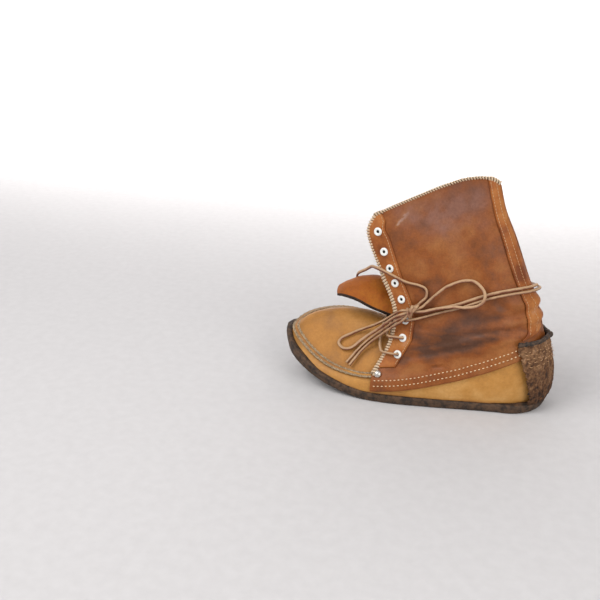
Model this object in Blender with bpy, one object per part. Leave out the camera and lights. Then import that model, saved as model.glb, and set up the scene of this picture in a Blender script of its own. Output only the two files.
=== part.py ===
"""Laced moccasin boot, left foot, modelled as an assembly of separate pieces.

Frame: metres, +Z up, toe towards -X, outer side towards -Y, origin on the flat underside of the outsole.
The driving dimensions and outlines below are in millimetres.
"""
import math

import bmesh
import bpy
import numpy as np

MM = 0.001

# ---- driving dimensions (mm) ----
SOLE_THICK = 10.0        # rubber outsole, rim included
RECESS_FLOOR = 6.5       # height of the tray inside the outsole's rim
RIM_WIDTH = 4.0
TOE_SPRING = 36.0        # lift of the toe's underside
SPRING_START = -42.0     # x where the sole leaves the floor
SPRING_POWER = 1.5
TOE_X = -154.0
LEATHER = 1.8            # thickness of the upper leather
STRAP = 1.4              # thickness of facings, backstay and linings
GAP = 0.35               # clearance between touching layers
QUARTER_GAP = 1.5        # clearance between the vamp and the quarters over it
SEAM_R = 2.6             # half width of the raised toe seam
SEAM_END_X = -42.0       # the seam stops at the quarters
SEAM_CLEAR = 3.3         # distance from the seam line to the leather edges beside it
FACING_GAP = 0.7
EYELET_R = 4.5           # flange radius
EYELET_HOLE_R = 2.3
EYELET_BARREL_R = 2.8
LACE_D = 3.2
RING_N = 30              # samples from toe to heel along each side of the last

# ---- sole outline (x, y), toe tip to heel, outer side then inner side ----
OUTLINE_OUTER = [(-154, 8), (-151, -5), (-141, -21), (-124, -35), (-100, -47), (-72, -54), (-42, -57),
                 (-12, -56), (25, -51), (60, -45), (92, -40), (118, -36), (136, -26), (146, -12), (149, 2)]
OUTLINE_INNER = [(-154, 8), (-151, 21), (-141, 35), (-124, 46), (-100, 53), (-72, 54), (-42, 50),
                 (-12, 44), (25, 39), (60, 38), (92, 38), (118, 36), (136, 28), (146, 15), (149, 2)]

# ---- top edge of the vamp wall (x, y, z), toe tip to heel ----
WALL_TOP_OUTER = [(-143, 7, 54), (-140, -8, 54), (-130, -20, 49), (-112, -31, 38), (-88, -41, 29),
                  (-63, -47, 26), (-44, -50, 27), (-25, -49, 31), (5, -48, 37), (42, -43, 50), (76, -38, 62),
                  (104, -33, 74), (122, -22, 80), (132, 1, 82)]
WALL_TOP_INNER = [(-143, 7, 54), (-139, 18, 57), (-127, 27, 62), (-108, 31, 67), (-86, 32, 69),
                  (-66, 34, 65), (-46, 40, 50), (-22, 43, 45), (8, 42, 46), (42, 39, 54), (76, 36, 64),
                  (104, 31, 75), (121, 20, 80), (132, 1, 82)]
PLUG_CREST = [(-140, 7, 58), (-120, 6, 70), (-100, 6, 76), (-80, 8, 79), (-60, 8, 80), (-44, 6, 78)]
THROAT_EDGE = [(-41, -47, 29), (-36, -37, 43), (-31, -27, 58), (-31, -10, 71), (-35, 6, 76.5), (-37, 22, 69.5),
               (-41, 35, 53)]
WALL_BULGE_OUTER, WALL_BULGE_INNER, WALL_BULGE_TOE = 4.0, 6.0, 1.5
INSET_FRONT = 1.6        # vamp foot behind the sole's edge at the toe
INSET_HEEL = 8.0         # and under the heel cup

# ---- shaft: each row runs from the front edge to the back seam (x, y, z) ----
SHAFT_OUTER = [
    [(-29, -38, 47), (-14, -43, 52), (25, -45, 58), (65, -42, 72), (103, -35, 84), (122, -22, 90), (131, -0.4, 92)],
    [(-21, -31, 72), (-9, -37, 74), (28, -42, 80), (65, -39, 89), (101, -32, 98), (119, -18, 102), (127, -0.4, 104)],
    [(-20, -25, 98), (-9, -31, 98), (28, -38, 103), (65, -36, 109), (98, -30, 114), (115, -16, 117), (122, -0.4, 118)],
    [(-37, -16, 133), (-25, -22, 133), (12, -29, 139), (50, -28, 145), (83, -24, 150), (98, -14, 152), (106, -0.4, 153)],
    [(-53, -10, 165), (-41, -14, 167), (-2, -18, 175), (34, -19, 181), (69, -17, 185), (85, -10, 186), (93, -0.4, 187)],
    [(-57, -9, 181), (-46, -12, 184), (-8, -13, 195), (28, -13, 204), (60, -12, 210), (75, -8, 212), (82, -0.4, 213)],
    [(-51, -8, 200), (-36, -8, 210), (-5, -9, 222), (23, -9, 236), (49, -8, 245), (67, -5, 246), (76, -0.4, 241)],
]
SHAFT_INNER = [
    [(-32, 37, 60), (-15, 42, 60), (25, 42, 64), (65, 40, 74), (103, 34, 84), (122, 22, 90), (131, 0.4, 92)],
    [(-22, 29, 79), (-9, 36, 79), (28, 40, 85), (65, 38, 91), (101, 31, 98), (119, 18, 102), (127, 0.4, 104)],
    [(-19, 23, 99), (-8, 30, 99), (28, 36, 103), (65, 34, 109), (98, 28, 114), (115, 16, 117), (122, 0.4, 118)],
    [(-35, 15, 129), (-24, 21, 131), (12, 27, 137), (50, 26, 143), (83, 22, 149), (98, 13, 152), (106, 0.4, 153)],
    [(-50, 9, 157), (-39, 13, 160), (-2, 16, 168), (34, 17, 175), (69, 15, 182), (85, 9, 185), (93, 0.4, 187)],
    [(-54, 8, 172), (-44, 11, 176), (-8, 11, 187), (28, 11, 196), (60, 10, 205), (75, 7, 210), (82, 0.4, 213)],
    [(-43, 7, 188), (-30, 7, 198), (-5, 7, 213), (23, 7, 227), (49, 6, 239), (67, 4, 243), (76, 0.4, 241)],
]
COLUMN_U = [0.0, 0.09, 0.32, 0.55, 0.79, 0.92, 1.0]

COLORS = {
    "rubber": ((0.030, 0.024, 0.020, 1), 0.85), "cup": ((0.10, 0.055, 0.030, 1), 0.9),
    "tan": ((0.42, 0.20, 0.058, 1), 0.6), "brown": ((0.22, 0.075, 0.022, 1), 0.5),
    "orange": ((0.36, 0.11, 0.022, 1), 0.65), "pale": ((0.45, 0.36, 0.24, 1), 0.8),
    "white": ((0.80, 0.79, 0.75, 1), 0.35), "metal": ((0.55, 0.52, 0.48, 1), 0.3),
    "lace": ((0.30, 0.17, 0.10, 1), 0.6), "seam": ((0.30, 0.19, 0.09, 1), 0.7),
}


# ---- curves and patches ----
def tangents(points, knots):
    """Finite-difference tangents for a smooth curve through points at the given knots."""
    slopes = np.diff(points, axis=0) / np.diff(knots)[:, None]
    inner = (slopes[1:] + slopes[:-1]) / 2
    return np.vstack([slopes[:1], inner, slopes[-1:]])


def curve(points, params, knots=None):
    """Smooth curve through points, read at params from 0 to 1; chord-length knots unless given."""
    points = np.array(points, float)
    if knots is None:
        knots = np.concatenate([[0], np.cumsum(np.linalg.norm(np.diff(points, axis=0), axis=1))])
    knots = np.array(knots, float) / knots[-1]
    slopes = tangents(points, knots)
    params = np.clip(np.atleast_1d(params), 0, 1)
    k = np.clip(np.searchsorted(knots, params, side="right") - 1, 0, len(knots) - 2)
    step = (knots[k + 1] - knots[k])[:, None]
    t = ((params - knots[k]) / step[:, 0])[:, None]
    return ((2 * t**3 - 3 * t**2 + 1) * points[k] + (t**3 - 2 * t**2 + t) * step * slopes[k]
            + (3 * t**2 - 2 * t**3) * points[k + 1] + (t**3 - t**2) * step * slopes[k + 1])


def patch(rows, u_params, v_params, knots=None, v_knots=None):
    """Grid of points from rows of control points: along each row, then across the rows."""
    dense = np.array([curve(row, u_params, knots) for row in rows])
    grid = [curve(dense[:, j], v_params, v_knots) for j in range(len(u_params))]
    return np.array(grid).transpose(1, 0, 2)


def normals(grid, closed=False):
    """Unit normals of a grid (rows, columns, xyz), from its row and column directions."""
    if closed:
        along = np.roll(grid, -1, axis=1) - np.roll(grid, 1, axis=1)
    else:
        along = np.gradient(grid, axis=1)
    across = np.gradient(grid, axis=0)
    out = np.cross(along, across)
    return out / np.maximum(np.linalg.norm(out, axis=2, keepdims=True), 1e-9)


def resample(points, count):
    """Evenly spaced points along a dense polyline."""
    length = np.concatenate([[0], np.cumsum(np.linalg.norm(np.diff(points, axis=0), axis=1))])
    at = np.linspace(0, length[-1], count)
    return np.column_stack([np.interp(at, length, points[:, k]) for k in range(3)])


# ---- meshes ----
def material(name):
    found = bpy.data.materials.get(name)
    if found:
        return found
    color, rough = COLORS[name]
    mat = bpy.data.materials.new(name)
    mat.use_nodes = True
    shader = mat.node_tree.nodes["Principled BSDF"]
    shader.inputs["Base Color"].default_value = color
    shader.inputs["Roughness"].default_value = rough
    shader.inputs["Metallic"].default_value = 1.0 if name == "metal" else 0.0
    return mat


def add_mesh(name, verts, faces, mat, origin=(0, 0, 0)):
    """Closed mesh object from millimetre vertices, with its origin at the given millimetre point."""
    mesh = bpy.data.meshes.new(name)
    places = (np.array(verts, float) - np.array(origin, float)) * MM
    mesh.from_pydata(places.tolist(), [], faces)
    bm = bmesh.new()
    bm.from_mesh(mesh)
    bmesh.ops.remove_doubles(bm, verts=bm.verts, dist=1e-6)
    bmesh.ops.recalc_face_normals(bm, faces=bm.faces)
    if bm.calc_volume(signed=True) < 0:
        bmesh.ops.reverse_faces(bm, faces=bm.faces)
    bm.to_mesh(mesh)
    bm.free()
    obj = bpy.data.objects.new(name, mesh)
    obj.location = [c * MM for c in origin]
    mesh.materials.append(material(mat))
    bpy.context.scene.collection.objects.link(obj)
    return obj


def grid_faces(rows, cols, start, closed, flip=False):
    faces = []
    for i in range(rows - 1):
        for j in range(cols if closed else cols - 1):
            n = (j + 1) % cols
            quad = [start + i * cols + j, start + i * cols + n, start + (i + 1) * cols + n, start + (i + 1) * cols + j]
            faces.append(quad[::-1] if flip else quad)
    return faces


def shell(name, outer, back, mat, origin=(0, 0, 0), outward=None):
    """Sheet of leather between an outer and a back grid; outward keeps it on one side of the back seam."""
    rows, cols = outer.shape[:2]
    if outward is not None:
        for face in (outer, back):
            face[..., 1] = outward * np.maximum(outward * face[..., 1], BACK_SEAM_Y)
    verts = np.vstack([outer.reshape(-1, 3), back.reshape(-1, 3)])
    half = rows * cols
    faces = grid_faces(rows, cols, 0, False) + grid_faces(rows, cols, half, False, True)
    rim = [j for j in range(cols)] + [i * cols + cols - 1 for i in range(1, rows)]
    rim += [(rows - 1) * cols + j for j in range(cols - 2, -1, -1)] + [i * cols for i in range(rows - 2, 0, -1)]
    for a, b in zip(rim, rim[1:] + rim[:1]):
        faces.append([b, a, a + half, b + half])
    return add_mesh(name, verts, faces, mat, origin)


def normals_out(grid, outward=None):
    """Normals turned towards the outer side: outward is -1 for the outer half, +1 for the inner half."""
    out = normals(grid)
    if outward is None:
        return out
    facing = np.sign(np.mean(out[..., 1])) or 1.0
    return out * (outward / facing)


def rings_solid(name, rings, mat):
    """Closed solid from rings around the sole; the first and last are capped from side to side."""
    cols = len(rings[0])
    verts = np.vstack(rings)
    faces = grid_faces(len(rings), cols, 0, True)
    for start, flip in ((0, True), ((len(rings) - 1) * cols, False)):
        half = cols // 2
        for j in range(half):
            quad = [start + j, start + j + 1, start + (cols - j - 1) % cols, start + (cols - j) % cols]
            quad = list(dict.fromkeys(quad))
            if len(quad) > 2:
                faces.append(quad if flip else quad[::-1])
    return add_mesh(name, verts, faces, mat)


def tube(name, points, radius, mat, sides=8, flatten=1.0):
    """Swept solid along points, with closed ends."""
    points = np.array(points, float)
    along = np.gradient(points, axis=0)
    along /= np.linalg.norm(along, axis=1)[:, None]
    side = np.cross(along, [0, 0, 1.0])
    side /= np.maximum(np.linalg.norm(side, axis=1)[:, None], 1e-9)
    up = np.cross(side, along)
    verts, faces = [], []
    radii = np.broadcast_to(radius, len(points))
    for p, s, u, r in zip(points, side, up, radii):
        for k in range(sides):
            a = 2 * math.pi * k / sides
            verts.append(p + r * (math.cos(a) * s + flatten * math.sin(a) * u))
    faces = grid_faces(len(points), sides, 0, True)
    faces.append(list(range(sides)))
    faces.append([len(verts) - 1 - k for k in range(sides)])
    return add_mesh(name, verts, faces, mat)


# ---- the last: sole outline and foot wall ----
def ring_params():
    """Parameters from toe to heel, closer together at both ends."""
    t = np.linspace(0, 1, RING_N + 1)
    return 0.5 * t + 0.5 * (1 - np.cos(math.pi * t)) / 2


def loop(outer_points, inner_points):
    """Closed ring: toe, outer side, heel, then the inner side back to the toe."""
    s = ring_params()
    outer, inner = curve(outer_points, s), curve(inner_points, s)
    return np.vstack([outer, inner[-2:0:-1]])


def lift(x):
    t = np.clip((SPRING_START - np.asarray(x, float)) / (SPRING_START - TOE_X), 0, None)
    return TOE_SPRING * t**SPRING_POWER


def outline_normals(ring):
    d = np.roll(ring, -1, axis=0) - np.roll(ring, 1, axis=0)
    out = np.column_stack([-d[:, 1], d[:, 0]])
    out /= np.linalg.norm(out, axis=1)[:, None]
    return -out if (out[0, 0] > 0) else out


OUTLINE = loop(OUTLINE_OUTER, OUTLINE_INNER)
OUT_N = outline_normals(OUTLINE)


def sole_ring(inset, height):
    """The sole outline moved in by inset, at a height above the sprung underside."""
    flat = OUTLINE - OUT_N * np.broadcast_to(inset, len(OUTLINE))[:, None]
    return np.column_stack([flat, lift(flat[:, 0]) + height])


def heel_share():
    """0 along the foot, rising to 1 around the heel."""
    return np.clip((OUTLINE[:, 0] - 88) / 33, 0, 1)


WALL_INSET = INSET_FRONT + (INSET_HEEL - INSET_FRONT) * heel_share()
WALL_BASE = sole_ring(WALL_INSET, SOLE_THICK + GAP)
WALL_TOP = loop(WALL_TOP_OUTER, WALL_TOP_INNER)
TOE_SHARE = np.clip((OUTLINE[:, 0] + 154) / 45, 0, 1)
BULGE = WALL_BULGE_TOE + TOE_SHARE * (
    np.interp(OUTLINE[:, 1], [-20, 30], [WALL_BULGE_OUTER, WALL_BULGE_INNER]) - WALL_BULGE_TOE)
BULGE *= np.clip((WALL_TOP - WALL_BASE)[:, 2] / 32, 0.3, 1)     # a low wall bulges less


def wall(v, offset=0.0):
    """Ring on the outer face of the vamp wall at height share v, moved out by offset."""
    v = np.broadcast_to(v, len(WALL_BASE))[:, None]
    out = np.column_stack([OUT_N, np.zeros(len(OUT_N))])
    ring = WALL_BASE * (1 - v) + WALL_TOP * v + out * (4 * v * (1 - v) * BULGE[:, None])
    if not np.any(offset):
        return ring
    low, high = wall(v[:, 0] - 0.04), wall(v[:, 0] + 0.04)
    along = np.roll(ring, -1, axis=0) - np.roll(ring, 1, axis=0)
    n = np.cross(high - low, along)
    n /= np.linalg.norm(n, axis=1)[:, None]
    n *= np.sign(np.sum(n[:, :2] * OUT_N, axis=1))[:, None]
    return ring + n * np.broadcast_to(offset, len(ring))[:, None]


def ring_index(side, x):
    """Fractional index on one side of the outline where it crosses x; side is -1 outer, +1 inner."""
    half = OUTLINE[:RING_N + 1, 0] if side < 0 else np.concatenate([OUTLINE[:1, 0], OUTLINE[:RING_N - 1:-1, 0]])
    return np.interp(x, half, np.arange(RING_N + 1))


def ring_points(ring, side, index):
    """Points on a ring at fractional indices counted from the toe along one side."""
    half = ring[:RING_N + 1] if side < 0 else np.vstack([ring[:1], ring[:RING_N - 1:-1]])
    at = np.arange(RING_N + 1)
    return np.column_stack([np.interp(index, at, half[:, k]) for k in range(3)])


# ---- the shaft's surface ----
EDGE_X = [-38, -16, 25, 65, 104, 126, 149]           # where the columns meet the foot wall
LOW_X = [-38, -14, 5, 24, 42, 60, 77, 112, 149]      # lower edge of the quarters, as shares of the wall height
LOW_OUTER = [0.08, 0.15, 0.33, 0.43, 0.50, 0.60, 0.70, 0.80, 0.84]
LOW_INNER = [0.06, 0.12, 0.26, 0.38, 0.48, 0.60, 0.70, 0.80, 0.84]
SHAFT_V = [0, 0.033, 0.067, 0.1, 0.2, 0.32, 0.44, 0.62, 0.8, 0.9, 1.0]


def shaft_rows(side, u):
    """Rows of points on the quarter's outer face, from its lower edge up to the topline."""
    low = np.interp(OUTLINE[:, 0], LOW_X, LOW_OUTER if side < 0 else LOW_INNER)
    index = ring_index(side, np.interp(u, COLUMN_U, EDGE_X))
    rows = []
    for share in (0.0, 0.33, 0.67, 1.0):
        row = ring_points(wall(low + (1 - low) * share, LEATHER + QUARTER_GAP), side, index)
        rows.append(row)
    for control in (SHAFT_OUTER if side < 0 else SHAFT_INNER):
        rows.append(curve(control, u, COLUMN_U))
    return np.array(rows)


def shaft(side, u, v):
    """Grid (v, u) on the quarter's outer face."""
    rows = shaft_rows(side, u)
    return np.array([curve(rows[:, j], v, SHAFT_V) for j in range(len(u))]).transpose(1, 0, 2)


def shaft_at(side, u, z):
    """Point and outward normal on the quarter's outer face in column u at height z."""
    v = np.linspace(0, 1, 400)
    column = shaft(side, np.array([u - 0.01, u, u + 0.01]), v)
    k = int(np.clip(np.argmin(abs(column[:, 1, 2] - z)), 1, len(v) - 2))
    n = np.cross(column[k, 2] - column[k, 0], column[k + 1, 1] - column[k - 1, 1])
    n /= np.linalg.norm(n)
    if n[1] * side < 0:
        n = -n
    return column[k, 1], n


U_GRID = np.concatenate([np.linspace(0, 0.16, 4)[:-1], np.linspace(0.16, 0.8, 8)[:-1], np.linspace(0.8, 1, 7)])
V_GRID = np.concatenate([np.linspace(0, 0.2, 6)[:-1], np.linspace(0.2, 0.8, 9)[:-1], np.linspace(0.8, 1, 6)])
FACING_COLUMNS = slice(0, 4)
FACING_ROWS = slice(5, None)
BACKSTAY_COLUMNS = slice(-4, -1)
BACKSTAY_ROWS = slice(4, None)
BACK_SEAM_Y = 0.4        # half the gap between the quarters at the back

EYELET_U = 0.102
EYELET_Z = {-1: [181, 160.5, 143.5, 129, 113, 92, 73, 55], 1: [172, 154, 138, 122, 107, 92, 78, 65]}
FOLD_POINT = {-1: (-34, -15, 153), 1: (-31, 14, 147)}    # on the fold of each lapel
FOLD_TOP = {-1: (41, -9, 243), 1: (41, 7, 235)}          # where the fold meets the topline
FOLD_STAND = 4.8                                         # the fold's axis outside the leather
FOLD_GAP = 0.6
RIVET_U, RIVET_Z = 0.035, {-1: 31, 1: 48}
SIDE_NAME = {-1: "outer", 1: "inner"}


def fold_frame(side):
    """Axis point, axis direction and cut-plane normal (towards the lapel) of one lapel's fold."""
    low, top = np.array(FOLD_POINT[side], float), np.array(FOLD_TOP[side], float)
    axis = (top - low) / np.linalg.norm(top - low)
    out = np.array([0, side * 0.96, 0.28])
    out -= axis * (out @ axis)
    out /= np.linalg.norm(out)
    cut = np.cross(axis, out)
    if cut[0] > 0:
        cut = -cut
    return low + out * FOLD_STAND, axis, cut


def keep_side(obj, point, normal):
    """Cut a closed object with a plane, keep the part that the normal points to, and close the cut."""
    bm = bmesh.new()
    bm.from_mesh(obj.data)
    place = [c * MM - o for c, o in zip(point, obj.location)]
    geom = bm.verts[:] + bm.edges[:] + bm.faces[:]
    cut = bmesh.ops.bisect_plane(bm, geom=geom, dist=1e-7, plane_co=place, plane_no=list(normal), clear_inner=True)
    edges = [e for e in cut["geom_cut"] if isinstance(e, bmesh.types.BMEdge)]
    bmesh.ops.contextual_create(bm, geom=edges)
    bmesh.ops.recalc_face_normals(bm, faces=bm.faces)
    bm.to_mesh(obj.data)
    bm.free()


def lathe(name, profile, center, axis, mat, segments=10, ring=True, origin=(0, 0, 0)):
    """Turned solid from (radius, height) points about an axis; ring=False closes on the axis."""
    axis = np.array(axis, float) / np.linalg.norm(axis)
    side = np.cross(axis, [0, 0, 1.0] if abs(axis[2]) < 0.9 else [1.0, 0, 0])
    side /= np.linalg.norm(side)
    other = np.cross(axis, side)
    verts = []
    for k in range(segments):
        a = 2 * math.pi * k / segments
        for r, h in profile:
            verts.append(np.array(center) + axis * h + r * (math.cos(a) * side + math.sin(a) * other))
    n = len(profile)
    faces = []
    for k in range(segments):
        m = (k + 1) % segments
        for i in range(n if ring else n - 1):
            j = (i + 1) % n
            faces.append([k * n + i, k * n + j, m * n + j, m * n + i])
    if not ring:
        faces.append([k * n for k in range(segments)])
        faces.append([k * n + n - 1 for k in range(segments)][::-1])
    return add_mesh(name, verts, faces, mat, origin)


def eyelet_places(side):
    """Centre on the facing's outer face and outward normal for each eyelet, top first."""
    places = []
    for z in EYELET_Z[side]:
        point, n = shaft_at(side, EYELET_U, z)
        places.append((point + n * (FACING_GAP + STRAP), n))
    return places


def drill(obj, places):
    """Cut the eyelet holes through a leather piece."""
    cutters = []
    for k, (point, n) in enumerate(places):
        profile = [(EYELET_BARREL_R + GAP, -9), (EYELET_BARREL_R + GAP, 5)]
        cutter = lathe(f"cut_{k}", profile, point, n, "metal", ring=False)
        cutters.append(cutter)
    for cutter in cutters:
        mod = obj.modifiers.new("hole", "BOOLEAN")
        mod.operation, mod.solver, mod.object = "DIFFERENCE", "EXACT", cutter
    graph = bpy.context.evaluated_depsgraph_get()
    mesh = bpy.data.meshes.new_from_object(obj.evaluated_get(graph))
    obj.modifiers.clear()
    obj.data = mesh
    for cutter in cutters:
        bpy.data.objects.remove(cutter, do_unlink=True)


# ---- sub-parts ----
def build_sole():
    outsole = [sole_ring(4.0, 0.0), sole_ring(1.2, 2.2), sole_ring(0.0, 6.0), sole_ring(0.4, SOLE_THICK),
               sole_ring(RIM_WIDTH + 0.4, SOLE_THICK), sole_ring(RIM_WIDTH + 0.4, RECESS_FLOOR)]
    rings_solid("outsole", outsole, "rubber")
    edge = RIM_WIDTH + 0.4 + GAP
    rings_solid("midsole", [sole_ring(edge, RECESS_FLOOR + GAP), sole_ring(edge, SOLE_THICK)], "pale")
    inset, low = WALL_INSET + 9.5, SOLE_THICK + GAP + 2.0 + GAP
    rings_solid("insole", [sole_ring(inset, low), sole_ring(inset, low + 2.5)], "pale")


def vamp_top():
    """Height share of the vamp's edge: just under the seam in front, the full wall behind."""
    height = WALL_TOP[:, 2] - WALL_BASE[:, 2]
    front = np.clip((-30 - OUTLINE[:, 0]) / 14, 0, 1)
    return 1 - front * SEAM_CLEAR / height


def build_vamp():
    top = vamp_top()
    thick = 2.0
    rings = [sole_ring(WALL_INSET + 9, SOLE_THICK + GAP)]
    rings += [wall(top * share) for share in (0, 0.25, 0.5, 0.75, 1)]
    low = 3.5 / (WALL_TOP - WALL_BASE)[:, 2]
    for share in (1, 0.75, 0.5, 0.25, 0):
        ring = wall(low + (top - low) * share, -thick)
        ring[:, 2] = np.maximum(ring[:, 2], WALL_BASE[:, 2] + thick)
        rings.append(ring)
    rings.append(sole_ring(WALL_INSET + 9, SOLE_THICK + GAP + thick))
    rings_solid("vamp", rings, "tan")


def seam_side(side):
    """Seam points from the toe to the throat corner on one side."""
    return ring_points(WALL_TOP, side, np.linspace(0, ring_index(side, SEAM_END_X), 16))


def build_plug():
    near, far = seam_side(-1), seam_side(1)
    t_all = np.linspace(0, 1, 8)
    crest = curve(PLUG_CREST, np.linspace(0, 1, len(near)))
    rows = []
    for n, c, f in zip(near[1:-1], crest[1:-1], far[1:-1]):
        arc = curve([n, c, f], np.linspace(0, 1, 60))
        length = np.sum(np.linalg.norm(np.diff(arc, axis=0), axis=1))
        inset = (SEAM_CLEAR + 0.4) / length
        rows.append(curve([n, c, f], inset + (1 - 2 * inset) * t_all))
    rows.append(curve(THROAT_EDGE, t_all))
    grid = np.array(rows)
    n = normals(grid)
    n *= np.sign(n[..., 2:3].mean())
    shell("plug", grid, grid - n * LEATHER, "tan")


def build_seam():
    path = np.vstack([seam_side(-1)[:0:-1], seam_side(1)])
    path = resample(path, 40)
    path[:, 2] += 0.8
    tube("toe_seam", path, SEAM_R, "seam", sides=8, flatten=1.0)


def build_quarters():
    for side in (-1, 1):
        name = SIDE_NAME[side]
        places = eyelet_places(side)
        point, axis, cut = fold_frame(side)
        origin = tuple(point)
        outer = shaft(side, U_GRID, V_GRID)
        n = normals_out(outer, side)
        strip, strip_n = outer[FACING_ROWS, FACING_COLUMNS], n[FACING_ROWS, FACING_COLUMNS]
        layers = (("quarter", outer, outer - n * LEATHER, "brown"),
                  ("facing", strip + strip_n * (FACING_GAP + STRAP), strip + strip_n * FACING_GAP, "orange"))
        for label, grid, back, mat in layers:
            lower = shell(f"{label}_{name}", grid, back, mat, outward=side)
            drill(lower, places[2:])
            keep_side(lower, point - cut * FOLD_GAP / 2, -cut)
            top_name = f"collar_flap_{name}" if label == "quarter" else f"facing_top_{name}"
            upper = shell(top_name, grid, back, mat, origin=origin, outward=side)
            drill(upper, places[:2])
            keep_side(upper, point + cut * FOLD_GAP / 2, cut)
        for k, (place, n) in enumerate(places):
            profile = [(EYELET_HOLE_R, -LEATHER - STRAP - 1.2), (EYELET_BARREL_R, -LEATHER - STRAP - 1.2),
                       (EYELET_BARREL_R, GAP), (EYELET_R, GAP), (EYELET_R - 0.3, GAP + 0.7),
                       (EYELET_HOLE_R + 0.5, GAP + 1.0)]
            lathe(f"eyelet_{name}_{k + 1}", profile, place, n, "white", origin=origin if k < 2 else (0, 0, 0))
        place, n = shaft_at(side, RIVET_U, RIVET_Z[side])
        dome = [(4.0, 0.8), (4.0, 1.6), (3.0, 3.0), (1.2, 3.6)]
        lathe(f"throat_rivet_{name}", dome, place, n, "metal", 12, ring=False)


def build_backstay():
    grids = {side: shaft(side, U_GRID, V_GRID)[BACKSTAY_ROWS] for side in (-1, 1)}
    facing_out = {side: normals_out(grids[side], side) for side in (-1, 1)}

    def strap(offset):
        left, right = (grids[side] + facing_out[side] * offset for side in (-1, 1))
        middle = (grids[-1][:, -1:] + grids[1][:, -1:]) / 2 + np.array([1.0, 0, 0.2]) * (offset + 0.5)
        return np.concatenate([left[:, BACKSTAY_COLUMNS], middle, right[:, BACKSTAY_COLUMNS][:, ::-1]], axis=1)

    shell("backstay", strap(FACING_GAP + STRAP), strap(FACING_GAP), "orange")


HEEL_X = 127
CUP_IN, CUP_OUT, CUP_TOP = 5.5, 7.7, 1.02
BINDING_R = 1.5
COUNTER_OUT = -3.2


def heel_rows(shares, offset, start_x):
    """Grid around the heel on the foot wall, from the outer side to the inner side."""
    first = int(round(ring_index(-1, start_x)))
    picks = np.arange(first, 2 * RING_N - first + 1)
    grid = np.array([wall(share, offset)[picks] for share in shares])
    grid[..., 2] = np.maximum(grid[..., 2], SOLE_THICK + GAP)
    return grid


def build_heel():
    shares = np.linspace(0.0, CUP_TOP, 7)
    shell("heel_cup", heel_rows(shares, CUP_OUT, HEEL_X), heel_rows(shares, CUP_IN, HEEL_X), "cup")
    edge = heel_rows([CUP_TOP + 0.03], CUP_OUT + 1.1, HEEL_X)[0]
    tube("heel_cup_binding", edge, BINDING_R, "rubber", sides=8)
    inner = np.linspace(0.12, 0.8, 5)
    shell("heel_counter", heel_rows(inner, COUNTER_OUT, 70), heel_rows(inner, COUNTER_OUT - STRAP, 70), "pale")


# ---- tongue ----
TONGUE_THICK = 2.2
FOLD_HINGE = (-19, 0, 98)
TONGUE_FLAP = [
    [(-25, -18, 90), (-23, -10, 99), (-23, 3, 107), (-23, 14, 105), (-24, 20, 96)],
    [(-47, -20, 93), (-47, -11, 110), (-47, 5, 120), (-46, 16, 119), (-45, 23, 112)],
    [(-64, -21, 101), (-65, -11, 113), (-66, 5, 119), (-65, 16, 118), (-64, 22, 113)],
    [(-82, -18, 104), (-83, -9, 109), (-84, 2, 112), (-83, 11, 111), (-82, 17, 108)],
    [(-90, -9, 104), (-91, -5, 105), (-92, -1, 107), (-91, 4, 107), (-90, 8, 106)],
]
TONGUE_BASE = [
    [(-30, -28, 45), (-34, -14, 60), (-39, 5, 65.5), (-38, 18, 58), (-34, 26, 47)],
    [(-13, -25, 66), (-15, -13, 78), (-18, 4, 83), (-15, 15, 78), (-13, 23, 67)],
    [(-11, -20, 83), (-15, -11, 95), (-16, 3, 104), (-15, 14, 101), (-12, 20, 93)],
]


def build_tongue():
    for name, rows, across, along, origin in (("tongue_base", TONGUE_BASE, 9, 7, (0, 0, 0)),
                                              ("tongue_flap", TONGUE_FLAP, 9, 13, FOLD_HINGE)):
        grid = patch(rows, np.linspace(0, 1, across), np.linspace(0, 1, along))
        n = normals(grid)
        n *= np.sign(n[..., 2:3].mean())
        shell(name, grid, grid - n * TONGUE_THICK, "orange", origin=origin)


# ---- lace: one rawhide lace, as the stretches between its holes, wraps, knot and bow ----
LACE_OUT = 3.9           # the lace's centre above the quarter's face where it lies on the facing
LACE_IN = -4.6           # and below it where it passes under
CROSS_HIGH = [(-7, 0, 17), (-8, 0, 5)]    # how far the two crossings stand off the throat, first over
CROSS_LOW = [(-4, 0, 8.4), (-3.5, 0, 2)]   # and second under
WRAP_STEP, BOW_STEP = 8.8, 5.6    # between the points of a stretch
NEAR_LOW = [(8, -41, 98.5), (27, -40, 106.5), (45, -39.2, 113), (70, -35.5, 124), (87, -31.5, 129.8),
            (105, -24.2, 133), (115.3, -14.2, 133.2), (119.6, -6, 132.8), (121.4, 1, 131.8)]
NEAR_HIGH = [(7.5, -39, 105), (14, -38.5, 107), (27, -39, 111.5), (45, -38, 117.5), (70, -34.5, 128.5),
             (87, -30.5, 134), (104, -23.6, 137), (113, -13, 137), (117.5, -5.5, 136.5), (119, 1, 135.5)]
FAR_HIGH = [(123, 8, 130.5), (119.5, 17, 129.5), (111, 25, 128), (96, 31.5, 125.5), (75, 33.5, 122), (50, 35.6, 119),
            (25, 36, 117), (5, 34.5, 115), (-12, 33, 113.5), (-27, 31, 113)]
FAR_LOW = [(118, 8, 133), (115, 15.5, 129), (110, 24.5, 124), (95, 30.5, 119), (75, 34.5, 114), (50, 37, 109),
           (25, 38, 104), (9, 40.5, 98.5)]
OVER_TONGUE = [(-43, 31, 107), (-58, 31, 106.5), (-70.5, 28, 110), (-76.5, 20, 118), (-72, 12, 125.5), (-62, 7, 132),
               (-54, -1, 138), (-49.5, -11, 141), (-44.5, -19, 142.7), (-37, -25, 142.5), (-28.5, -28, 140.5),
               (-20, -29, 137),
               (-8.6, -29.6, 133), (3.6, -32, 132.5), (11.5, -33.5, 130.3), (15.2, -34.6, 126), (13, -35.6, 120.5),
               (8, -37, 115)]
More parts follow.
